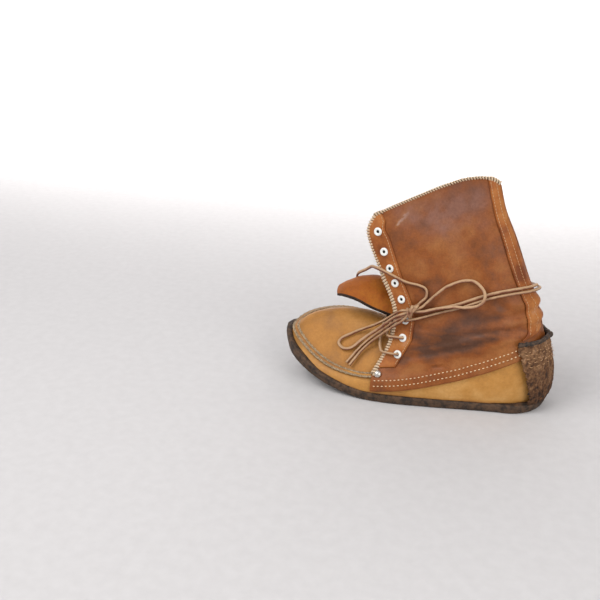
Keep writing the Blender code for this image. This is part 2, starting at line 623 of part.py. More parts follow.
KNOT = [(5.5, -39.5, 112.5), (2.5, -40.5, 109.5), (-0.5, -41, 106), (-3, -41, 102.5), (-5, -40.5, 99)]
KNOT_R = [2.6, 4.6, 5.2, 4.6, 2.8]
LOOP_BACK = [(10.5, -41.5, 112), (16, -39.5, 117.5), (24, -37.5, 126), (33, -35, 134.5), (42, -33.5, 139.5),
             (52, -32.5, 143.2), (61, -32.5, 143.5), (68.5, -34, 139.7), (74, -38, 133), (73.5, -40, 126),
             (68, -40.5, 120.5), (57, -42.5, 118), (44, -43, 117.3), (28, -43.5, 113.5), (13, -43.5, 108)]
LOOP_FRONT = [(-9.5, -42, 106), (-17, -36.5, 100), (-27, -31, 90.5), (-37, -27, 82), (-46, -23.5, 75.5),
              (-55, -19.5, 69.5), (-63.5, -19.5, 65), (-71, -21.5, 61), (-78.5, -23.5, 57), (-82.7, -26.5, 52.3),
              (-79.5, -30, 48.6), (-72, -32, 47.5), (-64.5, -30.5, 51), (-57.5, -27.5, 57.5), (-49.5, -26, 64.5),
              (-39.5, -28.5, 73.5), (-29.5, -33, 84), (-20.5, -37.5, 93.5), (-11.5, -43.5, 100.5)]
END_LOW = [(-9, -43.5, 94.5), (-17.5, -40.5, 87), (-26.5, -36.5, 78), (-34.5, -34, 70), (-43, -32, 61.5),
           (-51, -33, 53), (-57, -36.5, 46), (-61.5, -41, 39.5), (-65, -45, 34.5)]
END_HIGH = [(-12, -41.3, 95.7), (-19, -37.5, 89.5), (-28.5, -33, 79.8), (-38, -30, 70.5), (-47, -28, 61.5),
            (-54, -29.5, 54.5), (-60, -33.5, 47.5), (-65, -38, 41), (-69, -42, 35.5)]


def cord(name, route, step, lead=()):
    """Round lace: the lead's points as they are, then a smooth run through the route's points."""
    route = np.array(route, float)
    length = np.sum(np.linalg.norm(np.diff(route, axis=0), axis=1))
    path = np.vstack([*lead, curve(route, np.linspace(0, 1, int(length / step) + 1))]) * MM
    data = bpy.data.curves.new(name, "CURVE")
    data.dimensions = "3D"
    data.bevel_depth = LACE_D / 2 * MM
    data.bevel_resolution = 2
    data.use_fill_caps = True
    spline = data.splines.new("POLY")
    spline.points.add(len(path) - 1)
    for dot, place in zip(spline.points, path):
        dot.co = (*place, 1.0)
    data.materials.append(material("lace"))
    obj = bpy.data.objects.new(name, data)
    bpy.context.scene.collection.objects.link(obj)


def hole(side, number):
    """Quarter's face at an eyelet, its normal, and the direction from there to the front edge."""
    z = EYELET_Z[side][number - 1]
    point, n = shaft_at(side, EYELET_U, z)
    edge, edge_n = shaft_at(side, 0.01, z - 2)
    ahead = edge - point
    ahead -= n * (ahead @ n)
    return point, n, ahead / np.linalg.norm(ahead), edge, edge_n


def crossing(side, low, high, rise):
    """From inside the eyelet numbered low, out, over the throat, and up through the next eyelet opposite."""
    point, n, ahead, edge, edge_n = hole(side, low)
    over, over_n, over_ahead, far_edge, far_n = hole(-side, high)
    out = [point + n * 4.4, point + n * 6.2 + ahead * 1.8, point + n * 6.0 + ahead * 6]
    out.append(edge + edge_n * (LACE_OUT + 0.9) + ahead * 3.8)
    under = far_edge + far_n * LACE_IN + over_ahead * 2
    middle = (out[-1] + under) / 2 + np.array(rise)
    back = [under, over + over_n * (LACE_IN - 2.6) + over_ahead * 4.5]
    back += [over + over_n * (LACE_IN - 2.4) + over_ahead * 1.3, over + over_n * (LACE_IN - 0.9)]
    return out + [middle] + back


def build_lace():
    for name, side, rises, wrap in (("lace_strand_a", -1, CROSS_HIGH, NEAR_LOW + FAR_HIGH + OVER_TONGUE),
                                    ("lace_strand_b", 1, CROSS_LOW, FAR_LOW[::-1] + NEAR_HIGH[::-1])):
        point, n = hole(side, 8)[:2]
        last, last_n, ahead = hole(side, 6)[:3]
        lead = [point + n * (LACE_IN - 2), *crossing(side, 8, 7, rises[0]), *crossing(-side, 7, 6, rises[1])]
        lead.append(last + last_n * 4.4)
        cord(name, [last + last_n * 6.2 - ahead * 2, *(np.array(p, float) for p in wrap)], WRAP_STEP, lead)
    tube("lace_knot", KNOT, KNOT_R, "lace", sides=8)
    cord("lace_loop_back", LOOP_BACK, BOW_STEP)
    cord("lace_loop_front", LOOP_FRONT, BOW_STEP)
    cord("lace_end_low", END_LOW, WRAP_STEP)
    cord("lace_end_high", END_HIGH, WRAP_STEP)


def main():
    for obj in list(bpy.data.objects):
        bpy.data.objects.remove(obj, do_unlink=True)
    build_sole()
    build_vamp()
    build_plug()
    build_seam()
    build_quarters()
    build_backstay()
    build_heel()
    build_tongue()
    build_lace()


main()
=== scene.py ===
"""Laced moccasin boot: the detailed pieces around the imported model, with its floor, light and camera.

Shapes and control points are in millimetres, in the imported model's frame. A side is -1 (outer) or 1 (inner).
"""
import math

import bpy
import numpy as np
from mathutils import Matrix, Vector, noise


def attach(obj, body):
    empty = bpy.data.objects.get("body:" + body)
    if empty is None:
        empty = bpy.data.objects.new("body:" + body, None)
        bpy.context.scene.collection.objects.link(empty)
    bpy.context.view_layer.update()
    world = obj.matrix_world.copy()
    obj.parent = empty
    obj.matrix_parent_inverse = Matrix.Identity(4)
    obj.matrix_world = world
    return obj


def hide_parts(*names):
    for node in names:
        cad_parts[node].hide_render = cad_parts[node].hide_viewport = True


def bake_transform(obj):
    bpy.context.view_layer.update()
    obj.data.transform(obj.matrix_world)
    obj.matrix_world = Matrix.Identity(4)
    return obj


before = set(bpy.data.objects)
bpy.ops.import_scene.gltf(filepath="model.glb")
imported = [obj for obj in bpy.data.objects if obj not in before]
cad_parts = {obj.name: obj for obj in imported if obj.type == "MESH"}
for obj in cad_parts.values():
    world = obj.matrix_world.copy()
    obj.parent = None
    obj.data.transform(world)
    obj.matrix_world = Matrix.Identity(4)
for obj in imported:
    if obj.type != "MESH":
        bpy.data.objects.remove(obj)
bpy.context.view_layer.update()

MM = 0.001
SIDE_NAME = {-1: "outer", 1: "inner"}
SOLE_THICK = 10.0
TOE_SPRING, SPRING_START, SPRING_POWER = 36.0, -42.0, 1.5
TOE_X = -154.0
LEATHER, STRAP = 1.8, 1.4
GAP, QUARTER_GAP, FACING_GAP = 0.35, 1.5, 0.7
STRAP_TOP = FACING_GAP + STRAP     # outer face of a strap above the quarter's face
SEAM_END_X = -42.0
EYELET_R, EYELET_HOLE_R, EYELET_BARREL_R = 4.5, 2.3, 2.8
LACE_D = 3.2
RING_N = 110             # samples from toe to heel along each side of the last

# ---- sole outline (x, y), toe tip to heel, outer side then inner side ----
OUTLINE_OUTER = [(-154, 8), (-151, -5), (-141, -21), (-124, -35), (-100, -47), (-72, -54), (-42, -57),
                 (-12, -56), (25, -51), (60, -45), (92, -40), (118, -36), (136, -26), (146, -12), (149, 2)]
OUTLINE_INNER = [(-154, 8), (-151, 21), (-141, 35), (-124, 46), (-100, 53), (-72, 54), (-42, 50), (-12, 44),
                 (25, 39), (60, 38), (92, 38), (118, 36), (136, 28), (146, 15), (149, 2)]

# ---- top edge of the vamp wall (x, y, z), toe tip to heel ----
WALL_TOP_OUTER = [(-143, 7, 54), (-140, -8, 54), (-130, -20, 49), (-112, -31, 38), (-88, -41, 29),
                  (-63, -47, 26), (-44, -50, 27), (-25, -49, 31), (5, -48, 37), (42, -43, 50), (76, -38, 62),
                  (104, -33, 74), (122, -22, 80), (132, 1, 82)]
WALL_TOP_INNER = [(-143, 7, 54), (-139, 18, 57), (-127, 27, 62), (-108, 31, 67), (-86, 32, 69),
                  (-66, 34, 65), (-46, 40, 50), (-22, 43, 45), (8, 42, 46), (42, 39, 54), (76, 36, 64),
                  (104, 31, 75), (121, 20, 80), (132, 1, 82)]
PLUG_CREST = [(-140, 7, 58), (-120, 6, 70), (-100, 6, 76), (-80, 8, 79), (-60, 8, 80), (-44, 6, 78)]
THROAT_EDGE = [(-41, -47, 29), (-36, -37, 43), (-31, -27, 58), (-31, -10, 71), (-35, 6, 76.5),
               (-37, 22, 69.5), (-41, 35, 53)]
WALL_BULGE_OUTER, WALL_BULGE_INNER, WALL_BULGE_TOE = 4.0, 6.0, 1.5
INSET_FRONT = 1.6        # vamp foot behind the sole's edge at the toe
INSET_HEEL = 8.0         # and under the heel cup

# ---- shaft: each row runs from the front edge (x, y, z) to the back seam (x, z) ----
SHAFT_OUTER = [
    [(-29, -38, 47), (-14, -43, 52), (25, -45, 58), (65, -42, 72), (103, -35, 84), (122, -22, 90)],
    [(-21, -31, 72), (-9, -37, 74), (28, -42, 80), (65, -39, 89), (101, -32, 98), (120, -18, 102)],
    [(-20, -25, 98), (-9, -31, 98), (28, -38, 103), (65, -36, 109), (98, -30, 114), (116.2, -16, 117)],
    [(-37, -16, 133), (-25, -22, 133), (12, -29, 139), (50, -28, 145), (83, -24, 150), (100, -14, 152)],
    [(-53, -10, 165), (-41, -14, 167), (-2, -18, 175), (34, -19, 181), (69, -17, 185), (86.6, -10, 186)],
    [(-57, -9, 181), (-46, -12, 184), (-8, -13, 195), (28, -13, 204), (60, -12, 210), (76.2, -8, 212)],
    [(-51, -8, 197), (-36, -8, 205.5), (-5, -9, 222), (23, -9, 236), (49, -8, 245), (67, -5, 245)],
]
SHAFT_INNER = [
    [(-32, 37, 60), (-15, 42, 60), (25, 42, 64), (65, 40, 74), (103, 34, 84), (122, 22, 90)],
    [(-22, 29, 79), (-9, 36, 79), (28, 40, 85), (65, 38, 91), (101, 31, 98), (120, 18, 102)],
    [(-19, 23, 99), (-8, 30, 99), (28, 36, 103), (65, 34, 109), (98, 28, 114), (116.2, 16, 117)],
    [(-35, 15, 129), (-24, 21, 131), (12, 27, 137), (50, 26, 143), (83, 22, 149), (100, 13, 152)],
    [(-50, 9, 157), (-39, 13, 160), (-2, 16, 168), (34, 17, 175), (69, 15, 182), (86.6, 9, 185)],
    [(-54, 8, 172), (-44, 11, 176), (-8, 11, 187), (28, 11, 196), (60, 10, 205), (76.2, 7, 210)],
    [(-43, 7, 188), (-30, 7, 198), (-5, 7, 213), (23, 7, 227), (49, 6, 239), (67, 4, 242.5)],
]
BACK_SEAM = [(132.5, 92), (129.5, 104), (124.5, 118), (110, 153), (96.3, 187), (84.6, 213), (77.2, 238.5)]
BACK_SEAM_Y = 0.4        # half the gap between the quarters at the back
COLUMN_U = [0.0, 0.09, 0.32, 0.55, 0.79, 0.92, 1.0]


# ---- curves and grids ----
def unit(vectors):
    """Vectors scaled to length 1."""
    return vectors / np.maximum(np.linalg.norm(vectors, axis=-1, keepdims=True), 1e-9)


def run(points):
    """Length along a polyline, or down each column of a grid, from 0 at its start."""
    steps = np.linalg.norm(np.diff(points, axis=0), axis=-1)
    return np.concatenate([0 * steps[:1], np.cumsum(steps, axis=0)])


def read(points, at, knots=None):
    """A polyline's points at the given places, counted by its knots or else by index."""
    knots = np.arange(len(points)) if knots is None else knots
    return np.column_stack([np.interp(at, knots, column) for column in np.transpose(points)])


def share(x, start, end):
    """0 up to start, rising to 1 at end."""
    return np.clip((x - start) / (end - start), 0, 1)


def near(gap, width):
    """1 where there is no gap, fading over a width."""
    return np.exp(-(gap / width) ** 2)


def from_end(count):
    """Steps from each of count places to the nearer end."""
    return np.minimum(np.arange(count), np.arange(count)[::-1])


def curve(points, params, knots=None):
    """Smooth curve through points, read at params from 0 to 1; chord-length knots unless given."""
    points = np.array(points, float)
    knots = np.array(run(points) if knots is None else knots, float)
    knots /= knots[-1]
    slopes = np.diff(points, axis=0) / np.diff(knots)[:, None]
    slopes = np.vstack([slopes[:1], (slopes[1:] + slopes[:-1]) / 2, slopes[-1:]])
    params = np.clip(np.atleast_1d(params), 0, 1)
    k = np.clip(np.searchsorted(knots, params, side="right") - 1, 0, len(knots) - 2)
    step = (knots[k + 1] - knots[k])[:, None]
    t = ((params - knots[k]) / step[:, 0])[:, None]
    return ((2 * t**3 - 3 * t**2 + 1) * points[k] + (t**3 - 2 * t**2 + t) * step * slopes[k]
            + (3 * t**2 - 2 * t**3) * points[k + 1] + (t**3 - t**2) * step * slopes[k + 1])


def across(rows, v, knots=None):
    """Grid of points from rows of points, by a smooth curve down each column."""
    return np.array([curve(column, v, knots) for column in np.swapaxes(rows, 0, 1)]).transpose(1, 0, 2)


def normals(grid, axis):
    """Unit normals of a grid (rows, columns, xyz), turned to point along an axis on average."""
    n = unit(np.cross(np.gradient(grid, axis=1), np.gradient(grid, axis=0)))
    return n * np.sign(np.mean(n[..., axis]))


def resample(points, count):
    """Evenly spaced points along a dense polyline."""
    length = run(points)
    return read(points, np.linspace(0, length[-1], count), length)


# ---- the last: sole outline and foot wall ----
def loop(outer_points, inner_points):
    """Closed ring, denser at its ends: toe, outer side, heel, then the inner side back to the toe."""
    t = np.linspace(0, 1, RING_N + 1)
    s = 0.5 * t + 0.5 * (1 - np.cos(math.pi * t)) / 2
    return np.vstack([curve(outer_points, s), curve(inner_points, s)[-2:0:-1]])


def ring_steps(ring):
    return np.roll(ring, -1, axis=0) - np.roll(ring, 1, axis=0)


OUTLINE = loop(OUTLINE_OUTER, OUTLINE_INNER)
OUT = unit(ring_steps(OUTLINE)[:, ::-1] * [-1, 1])      # outward normals of the outline
OUT *= -np.sign(OUT[0, 0])
OUT_3D = np.column_stack([OUT, np.zeros(len(OUT))])


def sole_ring(inset, height):
    """The sole outline moved in by inset, at a height above the sprung underside."""
    flat = OUTLINE - OUT * np.broadcast_to(inset, len(OUTLINE))[:, None]
    spring = np.clip((SPRING_START - flat[:, 0]) / (SPRING_START - TOE_X), 0, None) ** SPRING_POWER
    return np.column_stack([flat, TOE_SPRING * spring + height])


WALL_INSET = INSET_FRONT + (INSET_HEEL - INSET_FRONT) * share(OUTLINE[:, 0], 88, 121)
WALL_BASE = sole_ring(WALL_INSET, SOLE_THICK + GAP)
WALL_TOP = loop(WALL_TOP_OUTER, WALL_TOP_INNER)
WALL_HIGH = (WALL_TOP - WALL_BASE)[:, 2]
BULGE = WALL_BULGE_TOE + share(OUTLINE[:, 0], TOE_X, TOE_X + 45) * (
    np.interp(OUTLINE[:, 1], [-20, 30], [WALL_BULGE_OUTER, WALL_BULGE_INNER]) - WALL_BULGE_TOE)
BULGE *= np.clip(WALL_HIGH / 32, 0.3, 1)     # a low wall bulges less


def wall(v, offset=0.0):
    """Ring on the outer face of the vamp wall at height share v, moved out by offset."""
    v = np.broadcast_to(v, len(WALL_BASE))[:, None]
    ring = WALL_BASE * (1 - v) + WALL_TOP * v + OUT_3D * (4 * v * (1 - v) * BULGE[:, None])
    if not offset:
        return ring
    n = unit(np.cross(wall(v[:, 0] + 0.04) - wall(v[:, 0] - 0.04), ring_steps(ring)))
    return ring + n * np.sign(np.sum(n[:, :2] * OUT, axis=1))[:, None] * offset


def one_side(ring, side):
    """One side of a ring, from toe to heel."""
    return ring[:RING_N + 1] if side < 0 else np.concatenate([ring[:1], ring[:RING_N - 1:-1]])


def ring_index(side, x):
    """Fractional index on one side of the outline where it crosses x."""
    return np.interp(x, one_side(OUTLINE, side)[:, 0], np.arange(RING_N + 1))


# ---- the shaft's surface ----
EDGE_X = [-38, -16, 25, 65, 104, 126, 149]           # where the columns meet the foot wall
LOW_X = [-38, -14, 5, 24, 42, 60, 77, 112, 149]      # where the quarters' lower edge is given
LOW = {-1: [0.20, 0.31, 0.43, 0.52, 0.575, 0.62, 0.68, 0.76, 0.84],
       1: [0.06, 0.12, 0.26, 0.38, 0.48, 0.60, 0.70, 0.80, 0.84]}    # as shares of the wall's height
SHAFT_V = [0, 0.033, 0.067, 0.1, 0.2, 0.32, 0.44, 0.62, 0.8, 0.9, 1.0]


def shaft(side, u, v):
    """Grid (v, u) on the quarter's outer face, from its lower edge up to the topline."""
    low = np.interp(OUTLINE[:, 0], LOW_X, LOW[side])
    index = ring_index(side, np.interp(u, COLUMN_U, EDGE_X))
    rows = [read(one_side(wall(low + (1 - low) * up, LEATHER + QUARTER_GAP), side), index)
            for up in (0.0, 0.33, 0.67, 1.0)]
    for row, (x, z) in zip(SHAFT_OUTER if side < 0 else SHAFT_INNER, BACK_SEAM):
        rows.append(curve([*row, (x, side * BACK_SEAM_Y, z)], u, COLUMN_U))
    return across(rows, v, SHAFT_V)


def shaft_at(side, u, z):
    """Point and outward normal on the quarter's outer face in column u at height z."""
    column = shaft(side, np.array([u - 0.01, u, u + 0.01]), np.linspace(0, 1, 400))
    k = int(np.clip(np.argmin(abs(column[:, 1, 2] - z)), 1, len(column) - 2))
    n = unit(np.cross(column[k, 2] - column[k, 0], column[k + 1, 1] - column[k - 1, 1]))
    return column[k, 1], n if n[1] * side >= 0 else -n


EYELET_U = 0.102
EYELET_Z = {-1: [181, 160.5, 143.5, 129, 113, 92, 73, 55], 1: [172, 154, 138, 122, 107, 92, 78, 65]}
FOLD_POINT = {-1: (-34, -15, 153), 1: (-31, 14, 147)}    # on the fold of each lapel
FOLD_TOP = {-1: (41, -9, 243), 1: (41, 7, 235)}          # where the fold meets the topline
FOLD_STAND = 4.8                                         # the fold's axis outside the leather
FOLD_HALF = 5.0                                          # half the width of the bend
RIVET_U, RIVET_Z = 0.027, {-1: 32, 1: 48}


def fold_span(side):
    """The two bodies that a lapel's bend joins, and its start and end in metres."""
    low, top = np.array(FOLD_POINT[side], float), np.array(FOLD_TOP[side], float)
    axis = unit(top - low)
    out = np.array([0, side * 0.96, 0.28])
    out = unit(out - axis * (out @ axis))
    cut = np.cross(axis, out)
    cut *= -np.sign(cut[0]) * FOLD_HALF
    point = low + out * FOLD_STAND
    return "boot", f"lapel_{SIDE_NAME[side]}", tuple((point - cut) * MM), tuple((point + cut) * MM)


# ---- lace: one rawhide lace, as the stretches between its holes, wraps, knot and bow ----
LACE_OUT = 3.9           # the lace's centre above the quarter's face where it lies on the facing
LACE_IN = -4.6           # and below it where it passes under
CROSS_HIGH = [(-7, 0, 17), (-8, 0, 5)]     # how far the two crossings stand off the throat, first over
CROSS_LOW = [(-4, 0, 8.4), (-3.5, 0, 2)]   # and second under
WRAP_STEP, BOW_STEP = 8.8, 5.6             # between the points of a stretch
NEAR_LOW = [(8, -41, 98.5), (27, -40, 106.5), (45, -39.2, 113), (70, -35.5, 124), (87, -31.5, 129.8),
            (105, -24.2, 133), (116.8, -14.8, 133.2), (122.2, -6.5, 132.8), (124.2, 1, 131.8)]
NEAR_HIGH = [(7.5, -39, 105), (14, -38.5, 107), (27, -39, 111.5), (45, -38, 117.5), (70, -34.5, 128.5),
             (87, -30.5, 134), (104, -23.6, 137), (114.5, -13.8, 137), (120, -6.2, 136.5), (122, 1, 135.5)]
FAR_HIGH = [(125.2, 8.2, 130.5), (120.7, 17.5, 129.5), (111.6, 25.3, 128), (96, 31.5, 125.5),
            (75, 33.5, 122), (50, 35.6, 119), (25, 36, 117), (5, 34.5, 115), (-12, 33, 113.5),
            (-27, 31, 113)]
FAR_LOW = [(121, 8.2, 133), (117, 16, 129), (110.6, 24.8, 124), (95, 30.5, 119), (75, 34.5, 114),
           (50, 37, 109), (25, 38, 104), (9, 40.5, 98.5)]
OVER_TONGUE = [(-43, 31, 107), (-56, 31, 106.5), (-68, 29.5, 106), (-75.5, 25.5, 109.8), (-75, 19.5, 117.3),
               (-70, 12, 123.5), (-62.3, 5, 129.6), (-54, -4, 137), (-50, -12, 140.4), (-45, -19.5, 142.4),
               (-37.2, -25.6, 142.5), (-28.5, -28.4, 140.5), (-20, -29, 137), (-8.6, -29.6, 133),
               (3.6, -32, 132.5), (11.5, -33.5, 130.3), (15.2, -34.6, 126), (13, -35.6, 120.5),
               (8, -37, 115)]
KNOT = [(5.5, -39.5, 112.5), (2.5, -40.5, 109.5), (-0.5, -41, 106), (-3, -41, 102.5), (-5, -40.5, 99)]
LOOP_BACK = [(10.5, -41.5, 112), (16, -39.5, 117.5), (24, -37.5, 126), (33, -35, 134.5), (42, -33.5, 139.5),
             (52, -32.5, 143.2), (61, -32.5, 143.5), (68.5, -34, 139.7), (74, -38, 133), (73.5, -40, 126),
             (68, -40.5, 120.5), (57, -42.5, 118), (44, -43, 117.3), (28, -43.5, 113.5), (13, -43.5, 108)]
LOOP_FRONT = [(-9.5, -42, 106), (-17, -36.5, 100), (-27, -31, 90.5), (-37, -27, 82), (-46, -23.5, 75.5),
              (-55, -19.5, 69.5), (-63.5, -19.5, 65), (-71, -21.5, 61), (-78.5, -23.5, 57),
              (-82.7, -26.5, 52.3), (-79.5, -30, 48.6), (-72, -32, 47.5), (-64.5, -30.5, 51),
              (-57.5, -27.5, 57.5), (-49.5, -26, 64.5), (-39.5, -28.5, 73.5), (-29.5, -33, 84),
              (-20.5, -37.5, 93.5), (-11.5, -43.5, 100.5)]
END_LOW = [(-9, -43.5, 94.5), (-17.5, -40.5, 87), (-26.5, -36.5, 78), (-34.5, -34, 70), (-43, -32, 61.5),
           (-51, -33, 53), (-57, -36.5, 46), (-61.5, -41, 39.5), (-65, -45, 34.5)]
END_HIGH = [(-12, -41.3, 95.7), (-19, -37.5, 89.5), (-28.5, -33, 79.8), (-38, -30, 70.5), (-47, -28, 61.5),
            (-54, -29.5, 54.5), (-60, -33.5, 47.5), (-65, -38, 41), (-69, -42, 35.5)]


# ---- materials ----
class Look:
    """A material made of nodes placed by the object's own coordinates."""

    def __init__(self, name):
        self.mat = bpy.data.materials.new(name)
        self.mat.use_nodes = True
        self.tree = self.mat.node_tree
        self.place = self.add("TexCoord", out="Object")

    def wire(self, node, inputs):
        """Give inputs a number, a colour or another node's output."""
        for key, value in inputs.items():
            if isinstance(value, bpy.types.NodeSocket):
                self.tree.links.new(value, node.inputs[key])
            else:
                node.inputs[key].default_value = value

    def add(self, kind, inputs=None, out=0, **settings):
        """One output of a new node."""
        node = self.tree.nodes.new("ShaderNode" + kind)
        for key, value in settings.items():
            setattr(node, key, value)
        self.wire(node, inputs or {})
        return node.outputs[out]

    def noise(self, scale, detail, roughness=0.5):
        return self.add("TexNoise", {"Vector": self.place, "Scale": scale, "Detail": detail,
                                     "Roughness": roughness})

    def painted(self, name):
        """Value painted on the mesh."""
        return self.add("Attribute", out="Fac", attribute_name=name)

    def ramp(self, value, *stops):
        color = self.add("ValToRGB", {"Fac": value})
        elements = color.node.color_ramp.elements
        while len(elements) < len(stops):
            elements.new(0.5)
        for element, (at, rgb) in zip(elements, stops):
            element.position, element.color = at, (*rgb, 1)
        return color

    def finish(self, inputs, height=None, strength=0.0, distance=0.0):
        """Wire the shader, with a bump if there is a height."""
        if height is not None:
            bump = self.add("Bump", {"Height": height, "Strength": strength, "Distance": distance})
            inputs = {**inputs, "Normal": bump}
        self.wire(self.tree.nodes["Principled BSDF"], inputs)
        return self.mat


HAZE = (0.25, 0.115, 0.080)    # greyish bloom of the oils in the dyed leather
PORE_SCALE = 420
GRAIN_HEIGHT, FIBRE_HEIGHT, LACE_HEIGHT = 0.0006, 0.0008, 0.0005    # full height of each bump, in metres
PLAIN, CLOUDS = 0.12, 0.18                  # usual strength of the pores and width of the clouds' colours
UNPAINTED = (PLAIN, CLOUDS, False)          # for sides that carry no painted tone
SATIN, OILED = (0.45, 0.65), (0.38, 0.6)    # ranges of roughness


def leather(name, dark, mid, light, patch, grain, depth, gloss, fleck=PLAIN, span=CLOUDS, toned=True):
    """Dyed leather: cloudy colour, fine pores and pebbles, and an oiled sheen that varies."""
    look = Look(name)
    cloud = look.noise(patch, 5, 0.62)
    scuffed = tuple(min(1.0, 0.18 + 0.9 * c) for c in light)
    value = look.add("Math", {0: cloud, 1: look.painted("tone")}, operation="ADD") if toned else cloud
    color = look.ramp(value, (0.5 - span, dark), (0.5, mid), (0.5 + span, light), (0.98, scuffed))
    color = look.add("Mix", {"Factor": look.painted("haze"), 6: color, 7: (*HAZE, 1)}, 2, data_type="RGBA")
    pores = look.ramp(look.noise(PORE_SCALE, 4, 0.7), (0.3, (1 - 2 * fleck,) * 3), (0.7, (1, 1, 1)))
    color = look.add("Mix", {"Factor": 1, 6: color, 7: pores}, 2, data_type="RGBA", blend_type="MULTIPLY")
    sheen = look.add("MapRange", {"Value": cloud, "From Min": 0.35, "From Max": 0.65,
                                  "To Min": gloss[0], "To Max": gloss[1]})
    pebble = look.add("TexVoronoi", {"Vector": look.place, "Scale": grain}, feature="SMOOTH_F1")
    height = look.add("Math", {0: pebble, 1: look.noise(grain / 6, 4, 0.6)}, operation="ADD")
    return look.finish({"Base Color": color, "Roughness": sheen, "Specular IOR Level": 0.25},
                       height, depth, GRAIN_HEIGHT)


def fibre(name, dark, light, scale, depth, roughness=0.8, metal=0.0):
    """Rubber, felt, thread or metal: streaky two-colour noise with a matching bump."""
    look = Look(name)
    streak = look.noise(scale, 5, 0.7)
    color = look.ramp(streak, (0.38, dark), (0.62, light))
    return look.finish({"Base Color": color, "Roughness": roughness, "Metallic": metal},
                       streak, depth, FIBRE_HEIGHT)


def split_leather(name, edge, face):
    """The lace: pale above and redder below, from the cord's painted tone: painted light on its top, painted
    shade underneath, and worn patches from noise.
    """
    look = Look(name)
    worn = look.noise(110, 4, 0.55)
    value = look.add("Math", {0: worn, 1: look.painted("tone")}, operation="ADD")
    # edge is the colour of the painted shade on the underside, face that of the painted light on top
    color = look.ramp(value, (0.25, edge), (0.72, face))
    return look.finish({"Base Color": color, "Roughness": 0.62}, worn, 0.4, LACE_HEIGHT)


LEATHERS = {  # dark, mid and light colour, cloud scale, pebble scale, bump, range of roughness, and options
    "tan": ((0.34, 0.15, 0.042), (0.50, 0.235, 0.055), (0.60, 0.32, 0.10), 26, 1100, 0.2, SATIN, 0.06),
    "plug": ((0.30, 0.13, 0.030), (0.43, 0.185, 0.038), (0.50, 0.235, 0.06), 22, 800, 0.4, SATIN, 0.08),
    "brown": ((0.095, 0.038, 0.019), (0.255, 0.072, 0.014), (0.34, 0.125, 0.033), 17, 1000, 0.25, OILED,
              PLAIN, 0.25),
    "orange": ((0.20, 0.050, 0.011), (0.36, 0.108, 0.022), (0.46, 0.17, 0.042), 30, 1000, 0.25, SATIN),
    "tongue": ((0.22, 0.060, 0.006), (0.33, 0.085, 0.006), (0.39, 0.125, 0.012), 34, 1300, 0.3, (0.55, 0.75),
               *UNPAINTED),
    "flesh": ((0.36, 0.25, 0.14), (0.50, 0.38, 0.24), (0.60, 0.48, 0.33), 50, 1500, 0.5, (0.8, 0.95),
              *UNPAINTED),
    # near-black painted shade: inside the eyelets, on the tongue's underside and edge, and on the back of the
    # heel cup
    "dark": ((0.012, 0.009, 0.008), (0.03, 0.018, 0.012), (0.07, 0.035, 0.02), 90, 1200, 0.5, (0.7, 0.9),
             *UNPAINTED),
    "cup": ((0.040, 0.019, 0.011), (0.165, 0.075, 0.034), (0.33, 0.17, 0.08), 190, 420, 1.0, (0.75, 0.95),
            0.3),
}
FIBRES = {  # dark and light colour, scale, bump, roughness, metal
    "rubber": ((0.018, 0.010, 0.006), (0.100, 0.052, 0.026), 160, 0.8),
    "binding": ((0.008, 0.006, 0.005), (0.085, 0.048, 0.028), 300, 0.8, 0.75),
    "cream": ((0.46, 0.32, 0.19), (0.74, 0.56, 0.39), 900, 0.4),
    "stitch": ((0.60, 0.38, 0.20), (0.84, 0.64, 0.42), 900, 0.3),
    "tan_thread": ((0.36, 0.17, 0.07), (0.62, 0.38, 0.19), 900, 0.3),
    "core": ((0.07, 0.045, 0.025), (0.24, 0.16, 0.095), 600, 0.4, 0.85),
    "braid": ((0.17, 0.115, 0.060), (0.46, 0.33, 0.20), 500, 0.5),
    "enamel": ((0.70, 0.69, 0.64), (0.86, 0.86, 0.83), 250, 0.1, 0.3),
    "rivet": ((0.45, 0.42, 0.38), (0.75, 0.72, 0.68), 300, 0.3, 0.35, 0.9),
    "board": ((0.30, 0.22, 0.13), (0.48, 0.37, 0.25), 240, 0.4, 0.9),
}
MATS = {name: leather(name, *values) for name, values in LEATHERS.items()}
MATS.update({name: fibre(name, *values) for name, values in FIBRES.items()})
# the redder colour is painted shade on the lace's underside, the paler one painted light on its top
MATS["lace"] = split_leather("lace", (0.17, 0.045, 0.020), (0.44, 0.27, 0.145))


# ---- meshes ----
def piece(name, shape, mats, body, replaces=(), slot=None, picks=None, tone=None, haze=None):
    """Smooth piece from (vertices, faces), facing out, attached to one body by name; given a fold_span, it is
    left unattached with its transform baked.
    """
    verts, faces = np.asarray(shape[0], float), shape[1]
    mesh = bpy.data.meshes.new(name)
    mesh.from_pydata((verts * MM).tolist(), [], faces)
    corners = [(f[0], f[k], f[k + 1]) for f in faces for k in range(1, len(f) - 1)]
    a, b, c = (verts[np.array(corners)[:, k]] for k in range(3))
    if np.sum(np.cross(a, b) * c) < 0:
        mesh.flip_normals()
    for mat in mats:
        mesh.materials.append(MATS[mat])
    if picks is not None:
        mesh.polygons.foreach_set("material_index", np.array(picks, np.int32))
    mesh.polygons.foreach_set("use_smooth", np.ones(len(faces), bool))
    for label, values in (("tone", tone), ("haze", haze)):
        layer = mesh.attributes.new(label, "FLOAT", "POINT")
        values = np.zeros(len(verts)) if values is None else values
        layer.data.foreach_set("value", np.asarray(values, float))
    mesh.update()
    obj = bpy.data.objects.new(name, mesh)
    bpy.context.scene.collection.objects.link(obj)
    if replaces:
        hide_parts(*replaces)
    if isinstance(body, str):
        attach(obj, body)
    else:
        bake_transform(obj)
    return obj


